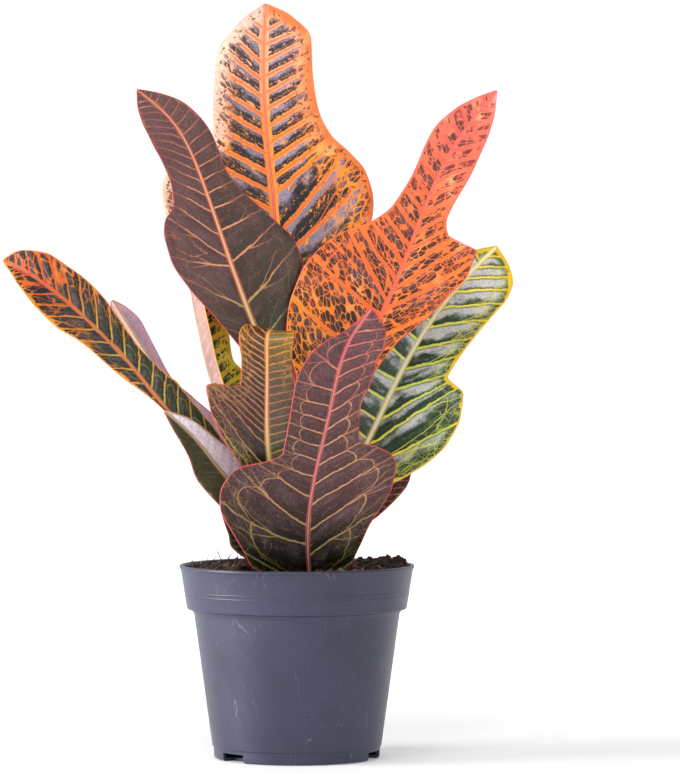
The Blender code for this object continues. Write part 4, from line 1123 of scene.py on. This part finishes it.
def make_pot():
    """The turned pot with a block cut out of its foot at each drain notch."""
    pot = turned("pot", pot_section(), POT_SIDES, pot_look())
    cutters = []
    for angle in NOTCH_ANGLES:
        turn = math.radians(angle)
        reach = (BASE_RADIUS - NOTCH_REACH / 2 + 2) * MM
        size = Vector((NOTCH_REACH, NOTCH_WIDTH, NOTCH_HEIGHT * 2)) * MM
        bpy.ops.mesh.primitive_cube_add(size=1, location=(reach * math.cos(turn), reach * math.sin(turn), 0))
        cutter = bpy.context.object
        cutter.scale = size
        cutter.rotation_euler = (0, 0, turn)
        cut = pot.modifiers.new("drain_notch", "BOOLEAN")
        cut.operation = "DIFFERENCE"
        cut.solver = "EXACT"
        cut.object = cutter
        cutters.append(cutter)
    shown = pot.evaluated_get(bpy.context.evaluated_depsgraph_get())
    cut_mesh = bpy.data.meshes.new_from_object(shown)
    pot.modifiers.clear()
    pot.data = cut_mesh
    cut_mesh.shade_smooth()
    cut_mesh.set_sharp_from_angle(angle=math.radians(50))
    for cutter in cutters:
        bpy.data.objects.remove(cutter, do_unlink=True)
    stand_for(pot, "pot")


# ---------------------------------------------------------------------------------------
# Potting soil
# ---------------------------------------------------------------------------------------

SOIL_TOP = 95.3
HOLLOW_CENTRE = (3.0, -20.0)
HOLLOW_FLOOR_RADIUS = 21.0
HOLLOW_EDGE_RADIUS = 36.0
HOLLOW_DEPTH = 15.5
HEAP = (42, 14, 2.2, 16)
LEFT_HEAP = (-38, -4, 1.3, 14)
STEEP_HEAP = (46, 2, 3.6, 11)
LUMP_HEIGHT = 0.55
SOIL_SIDES = 220
SOIL_RINGS = 90
SOIL_EDGE = 57.0
BIG_CRUMBS = 520
SMALL_CRUMBS = 5200
FIBRES = 260
HAIRS = 9


def mound(x, y, heap):
    """Bell of the heap's height: height * exp(-(distance from its centre / spread) ** 2)."""
    centre_x, centre_y, height, spread = heap
    return height * np.exp(-((x - centre_x) ** 2 + (y - centre_y) ** 2) / spread ** 2)


def soil_height(x, y):
    """Level soil with a shallow hollow round the foot of the plant, heaped right and left."""
    r = np.hypot(x - HOLLOW_CENTRE[0], y - HOLLOW_CENTRE[1])
    hollow = 1 - step(HOLLOW_FLOOR_RADIUS, HOLLOW_EDGE_RADIUS, r)
    loose = mound(x, y, LEFT_HEAP) + mound(x, y, STEEP_HEAP) + 1.0 * step(12, 40, np.hypot(x, y))
    ripple = 0.5 * np.sin(x * 0.31 + 1.1) * np.sin(y * 0.27 + 0.4)
    return SOIL_TOP - HOLLOW_DEPTH * hollow + mound(x, y, HEAP) + loose + ripple


def lumpy(x, y, waves=60, low=0.25, high=2.2):
    """Sum of sine waves in random directions, each with an amplitude that falls as 1 / frequency.

    It starts its own random numbers each time, so the body and what lies on it share the lumps.
    """
    random = np.random.default_rng(5)
    total = 0 * x
    for _ in range(waves):
        frequency = low * (high / low) ** random.random()
        turn, phase = random.random(2) * math.tau
        run = x * math.cos(turn) + y * math.sin(turn)
        total = total + np.sin(frequency * run + phase) * low / frequency
    return total / math.sqrt(waves) * 2


def soil_look():
    """Dark brown peat with paler and darker grains."""
    look = Look("soil", roughness=0.95)
    place = look.place()
    cloud = look.noise(place, 220, 4, 0.7)
    grain = look.noise(place, 1300, 4, 0.7)
    colour = look.mix(linear(30, 22, 19), linear(66, 48, 40), look.fade(cloud, 0.3, 0.75))
    colour = look.mix(colour, linear(108, 80, 64), look.fade(grain, 0.6, 0.85) * 0.6)
    tint = look.cells(place, 330, "F1", "Color")
    red, green, _ = look.split(tint)
    colour = look.mix(colour, linear(120, 84, 66), look.fade(red, 0.86, 0.93) * 0.7)
    colour = look.mix(colour, linear(26, 18, 16), look.fade(green, 0.7, 0.9) * 0.6)
    return look.finish(Base_Color=colour, Normal=look.bump(cloud + grain * 0.6, 0.7, 0.0008))


def mesh_piece(name, verts, faces, look, smooth=False):
    """A piece from points in millimetres and the faces between them."""
    mesh_data = bpy.data.meshes.new(name)
    mesh_data.from_pydata((verts * MM).tolist(), [], [list(face) for face in faces])
    mesh_data.materials.append(look)
    if smooth:
        mesh_data.shade_smooth()
    piece = bpy.data.objects.new(name, mesh_data)
    bpy.context.scene.collection.objects.link(piece)
    return piece


def soil_body(look):
    """Root ball turned about Z, its top lifted to the soil's height plus lumps."""
    band_foot = POT_HEIGHT - BAND_HEIGHT
    inset = WALL + 0.4
    bottom = [(0, FLOOR + 3.8), (BASE_RADIUS - NOTCH_REACH + 1.0, FLOOR + 3.8),
              (BASE_RADIUS - inset + 0.2, FOOT_HEIGHT + 2.5), (BODY_TOP_RADIUS - inset - 0.6, band_foot),
              (BAND_FOOT_RADIUS - inset - 0.9, band_foot + WALL + 2.5)]
    top_radii = SOIL_EDGE * np.linspace(1, 0, SOIL_RINGS)
    top = np.stack([top_radii, np.full(SOIL_RINGS, SOIL_TOP)], axis=1)
    outline = np.concatenate([subdivided(np.array(bottom, float), 6.0), top])
    first_top = len(outline) - SOIL_RINGS - 1

    def lift(points):
        x, y = points[first_top:, :, 0], points[first_top:, :, 1]
        rim = step(SOIL_EDGE, SOIL_EDGE - 2, np.hypot(x, y))
        lumps = (lumpy(x, y) * LUMP_HEIGHT + 0.3) * rim
        points[first_top:, :, 2] = soil_height(x, y) + lumps - 0.8 * (1 - rim)
        return points

    outline[-1, 1] = soil_height(0.0, 0.0)
    return turned("potting_soil", outline, SOIL_SIDES, look, lift)


def ball(levels):
    """Unit icosahedron whose triangles are split in four `levels` times."""
    golden = (1 + math.sqrt(5)) / 2
    verts = [(x, y * golden, 0) for x in (-1, 1) for y in (-1, 1)]
    verts = verts + [(0, a, b) for a, b, _ in verts] + [(b, 0, a) for a, b, _ in verts]
    verts = unit(np.array(verts, float))
    gaps = np.linalg.norm(verts[:, None] - verts[None], axis=-1)
    near = gaps < 1.1
    faces = [(i, j, k) for i in range(12) for j in range(i + 1, 12) for k in range(j + 1, 12)
             if near[i, j] and near[j, k] and near[i, k]]
    faces = [f if np.dot(np.cross(verts[f[1]] - verts[f[0]], verts[f[2]] - verts[f[0]]), verts[f[0]]) > 0
             else f[::-1] for f in faces]
    faces = np.array(faces)
    for _ in range(levels):
        edges = np.sort(np.concatenate([faces[:, [0, 1]], faces[:, [1, 2]], faces[:, [2, 0]]]), axis=1)
        pairs, where = np.unique(edges, axis=0, return_inverse=True)
        middle = (where + len(verts)).reshape(3, -1).T
        verts = np.concatenate([verts, unit(verts[pairs].mean(axis=1))])
        a, b, c = faces.T
        ab, bc, ca = middle.T
        faces = np.concatenate([np.stack(f, axis=1) for f in
                                ((a, ab, ca), (b, bc, ab), (c, ca, bc), (ab, bc, ca))])
    return verts, faces


def crumbs(count, levels, sizes, roughness):
    """Lumps of peat strewn over the soil: each is a ball stretched, dented and turned at random."""
    verts, faces = ball(levels)
    radius = SOIL_EDGE * np.sqrt(RANDOM.random(count)) * 0.985
    turn = RANDOM.random(count) * math.tau
    x, y = radius * np.cos(turn), radius * np.sin(turn)
    size = sizes[0] * (sizes[1] / sizes[0]) ** (RANDOM.random(count) ** 2)
    z = soil_height(x, y) + lumpy(x, y) * LUMP_HEIGHT + size * 0.35
    dents = 1 + roughness * (RANDOM.random((count, len(verts), 1)) - 0.5)
    stretch = 0.55 + 0.9 * RANDOM.random((count, 1, 3))
    frames = np.linalg.qr(RANDOM.normal(size=(count, 3, 3)))[0]
    frames[:, :, 0] *= np.sign(np.linalg.det(frames))[:, None]
    shaped = verts[None] * dents * stretch * size[:, None, None]
    placed = np.einsum("nij,nkj->nki", frames, shaped) + np.stack([x, y, z], axis=1)[:, None]
    numbered = faces[None] + (np.arange(count) * len(verts))[:, None, None]
    return placed.reshape(-1, 3), numbered.reshape(-1, 3)


def strands(starts, bends, lengths, radii, sides=5, joints=12):
    """Thin tapering tubes, each along a quadratic curve from its start, bent sideways and up."""
    t = np.linspace(0, 1, joints)[None, :, None]
    ends = starts + bends[:, 0] * lengths[:, None]
    middles = (starts + ends) / 2 + bends[:, 1] * lengths[:, None]
    path = (1 - t) ** 2 * starts[:, None] + 2 * t * (1 - t) * middles[:, None] + t ** 2 * ends[:, None]
    ahead = unit(np.gradient(path, axis=1))
    side = unit(np.cross(ahead, np.array([0.31, 0.17, 0.93])))
    up = np.cross(side, ahead)
    turns = (np.arange(sides) * math.tau / sides)[None, None, :, None]
    girth = (radii[:, None] * (1 - 0.8 * t[..., 0] ** 2))[:, :, None, None]
    rings = path[:, :, None] + girth * (np.cos(turns) * side[:, :, None] + np.sin(turns) * up[:, :, None])
    count = len(starts)
    grid = np.arange(count * joints * sides).reshape(count, joints, sides)
    ahead_grid = np.roll(grid, -1, axis=2)
    quads = np.stack([grid[:, :-1], grid[:, 1:], ahead_grid[:, 1:], ahead_grid[:, :-1]], axis=-1)
    caps = grid[:, 0].tolist() + grid[:, -1, ::-1].tolist()
    return rings.reshape(-1, 3), quads.reshape(-1, 4).tolist() + caps


def make_soil():
    """The root ball in place of its node, and two sizes of crumb strewn over it."""
    look = soil_look()
    stand_for(soil_body(look), "potting_soil")
    for label, count, levels, sizes, dented in (("soil_crumbs", BIG_CRUMBS, 1, (0.9, 2.3), 0.5),
                                                ("soil_grains", SMALL_CRUMBS, 0, (0.35, 1.0), 0.6)):
        piece = mesh_piece(label, *crumbs(count, levels, sizes, dented), look)
        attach(piece, "root")


def fibres(look):
    """Peat fibres lying on the soil."""
    radius = SOIL_EDGE * np.sqrt(RANDOM.random(FIBRES)) * 0.97
    turn = RANDOM.random(FIBRES) * math.tau
    x, y = radius * np.cos(turn), radius * np.sin(turn)
    starts = np.stack([x, y, soil_height(x, y) + lumpy(x, y) * LUMP_HEIGHT + 0.3], axis=1)
    lengths = 4 + 9 * RANDOM.random(FIBRES) ** 2
    inward = -0.6 * starts[:, :2] / SOIL_EDGE
    heading = np.stack([RANDOM.normal(size=FIBRES) + inward[:, 0], RANDOM.normal(size=FIBRES) + inward[:, 1],
                        np.abs(RANDOM.normal(size=FIBRES)) * 0.45], axis=1)
    bends = np.stack([unit(heading), RANDOM.normal(size=(FIBRES, 3)) * 0.16], axis=1)
    verts, faces = strands(starts, bends, lengths, 0.12 + 0.2 * RANDOM.random(FIBRES))
    piece = mesh_piece("soil_fibres", verts, faces, look, True)
    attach(piece, "root")


def root_hairs(look):
    """Fine pale hairs from the soil's edge over the rim, each an arch that ends on the band."""
    turn = -math.pi / 2 + np.linspace(-0.75, 0.7, HAIRS) + RANDOM.normal(size=HAIRS) * 0.06
    outwards = np.stack([np.cos(turn), np.sin(turn), 0 * turn], axis=1)
    along_rim = np.stack([-np.sin(turn), np.cos(turn), 0 * turn], axis=1) * RANDOM.normal(size=(HAIRS, 1))
    starts = outwards * (SOIL_EDGE - 3) + np.array([0, 0, SOIL_TOP + 1.0])
    heading = unit(outwards + along_rim * 0.5 + np.array([0, 0, -0.12]))
    arch = np.tile([0.0, 0.0, 0.42], (HAIRS, 1)) + along_rim * 0.12
    lengths = 8 + 3 * RANDOM.random(HAIRS)
    verts, faces = strands(starts, np.stack([heading, arch], axis=1), lengths, np.full(HAIRS, 0.11))
    piece = mesh_piece("root_hairs", verts, faces, look, True)
    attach(piece, "root")


def fibre_look(name, dark, pale):
    """A dull strand that shifts from a dark to a pale colour along its length."""
    look = Look(name, roughness=0.8)
    cloud = look.noise(look.place(), 90, 2)
    return look.finish(Base_Color=look.mix(linear(*dark), linear(*pale), look.fade(cloud, 0.4, 0.62)))


# ---------------------------------------------------------------------------------------
# Stem
# ---------------------------------------------------------------------------------------

STEM_RADIUS = 4.6
STEM_TOP_RADIUS = 3.4
STEM_TOP = 186.0
SOCKET_DEPTH = 30.0
SCARS = ((92, 3.9), (99, 1.3), (106, 5.2), (121, 2.2), (137, 0.4), (152, 4.4), (166, 2.8))


def make_stem():
    """Woody stem: radius r(z) falls slowly, swells at each leaf scar and is ribbed a little.

    A scar at height h and angle t adds a bump exp(-((z - h) / 2)^2) * max(cos(angle - t), 0)^2
    with a thin groove above it.
    """
    foot = SOIL_TOP - HOLLOW_DEPTH - SOCKET_DEPTH + 0.3
    heights = np.linspace(foot, STEM_TOP - 1.2, 150)
    share = (heights - foot) / (STEM_TOP - foot)
    radius = STEM_RADIUS + (STEM_TOP_RADIUS - STEM_RADIUS) * share - 0.25
    outline = np.concatenate([[(0, foot)], np.stack([radius, heights], axis=1),
                              [(STEM_TOP_RADIUS - 0.9, STEM_TOP - 0.3), (0, STEM_TOP)]])

    def bark(points):
        x, y, z = np.moveaxis(points, -1, 0)
        angle = np.arctan2(y, x)
        swell = 0.06 * np.sin(angle * 7 + z * 0.05) + 0.05 * np.sin(angle * 11 - z * 0.21)
        for height, turn in SCARS:
            facing = np.maximum(np.cos(angle - turn), 0) ** 2
            groove = 0.3 * np.exp(-((z - height - 2) / 0.6) ** 2)
            swell += facing * (0.55 * np.exp(-((z - height) / 2) ** 2) - groove)
        grown = 1 + swell / np.maximum(np.hypot(x, y), 1)
        return np.stack([x * grown, y * grown, z], axis=-1)

    look = Look("stem_bark", roughness=0.8)
    x, y, z = look.split(look.place())
    place = look.join(x * 3, y * 3, z)
    cloud = look.noise(place, 60, 4, 0.6)
    green = look.fade(z, 0.09, 0.16)
    colour = look.mix(linear(116, 98, 78), linear(112, 120, 76), green)
    colour = look.mix(colour, linear(74, 66, 52), look.fade(cloud, 0.42, 0.7))
    ridge = look.noise(look.join(x * 8, y * 8, z * 0.8), 220, 3, 0.6)
    colour = look.mix(colour, linear(160, 150, 122), look.fade(ridge, 0.6, 0.75) * 0.5)
    look.finish(Base_Color=colour, Normal=look.bump(ridge + cloud * 0.5, 0.5, 0.0004))
    stand_for(turned("stem", outline, 40, look.material, bark), "stem")


# ---------------------------------------------------------------------------------------
# Stage, in metres
# ---------------------------------------------------------------------------------------

STAGE_SIZE = 30
FLOOR_DROP = 0.0002
BACKDROP_AWAY = 8.0
SURROUND = 0.27
LIGHT_AIM = (0, 0, 0.18)
# Each light: its name, its place, its width and its power in watts.
LIGHTS = (("key", (-2.0, -0.45, 0.55), 1.2, 54), ("top", (-0.3, -1.0, 1.9), 1.0, 12),
          ("fill", (0.6, -1.8, 0.9), 1.2, 6))
CAMERA_PLACE = (0.022, -2.2, 0.235)
CAMERA_AIM = (0.022, 0, 0.189)
LENS = 200.7
SENSOR = 36


def make_stage():
    """White floor and backdrop, an even white surround, and a strong key from the left.

    The floor's own glow rises away from the plant, so its far edge meets the backdrop unseen.
    """
    bpy.ops.mesh.primitive_plane_add(size=STAGE_SIZE, location=(0, 0, -FLOOR_DROP))
    floor = bpy.context.object
    floor.name = "floor"
    look = Look("floor_white", roughness=0.9)
    away = look.node("ShaderNodeVectorMath", {"operation": "LENGTH"}, {0: look.place()}, "Value")
    look.finish(Base_Color=(0.9, 0.9, 0.9), Emission_Color=look.fade(away, 0.15, 0.8, 0.24, 0.7))
    look.shader.inputs["Emission Strength"].default_value = 1.0
    look.shader.inputs["Specular IOR Level"].default_value = 0.0
    floor.data.materials.append(look.material)

    bpy.ops.mesh.primitive_plane_add(size=STAGE_SIZE, location=(0, BACKDROP_AWAY, 0),
                                     rotation=(math.pi / 2, 0, 0))
    wall = bpy.context.object
    wall.name = "backdrop"
    glow = Look("backdrop_white", roughness=0.9)
    glow.finish(Base_Color=(0.0, 0.0, 0.0), Emission_Color=(1.0, 1.0, 1.0))
    glow.shader.inputs["Emission Strength"].default_value = 1.02
    wall.data.materials.append(glow.material)

    world = bpy.data.worlds.new("surround")
    bpy.context.scene.world = world
    world.use_nodes = True
    world.node_tree.nodes["Background"].inputs["Color"].default_value = (1, 1, 1, 1)
    world.node_tree.nodes["Background"].inputs["Strength"].default_value = SURROUND

    for label, place, size, power in LIGHTS:
        light = bpy.data.lights.new(label, "AREA")
        light.shape = "DISK"
        light.size = size
        light.energy = power
        lamp = bpy.data.objects.new(label, light)
        lamp.location = place
        aim = Vector(LIGHT_AIM) - Vector(place)
        lamp.rotation_euler = aim.to_track_quat("-Z", "Y").to_euler()
        bpy.context.scene.collection.objects.link(lamp)

    lens = bpy.data.cameras.new("camera")
    lens.lens = LENS
    lens.sensor_width = SENSOR
    camera = bpy.data.objects.new("camera", lens)
    camera.location = CAMERA_PLACE
    aim = Vector(CAMERA_AIM) - camera.location
    camera.rotation_euler = aim.to_track_quat("-Z", "Y").to_euler()
    bpy.context.scene.collection.objects.link(camera)
    bpy.context.scene.camera = camera
    bpy.context.scene.view_settings.view_transform = "Standard"


make_leaves()
make_stem()
make_pot()
make_soil()
fibres(fibre_look("soil_fibre", (58, 40, 32), (128, 92, 72)))
root_hairs(fibre_look("root_hair", (150, 112, 84), (206, 178, 146)))
make_stage()
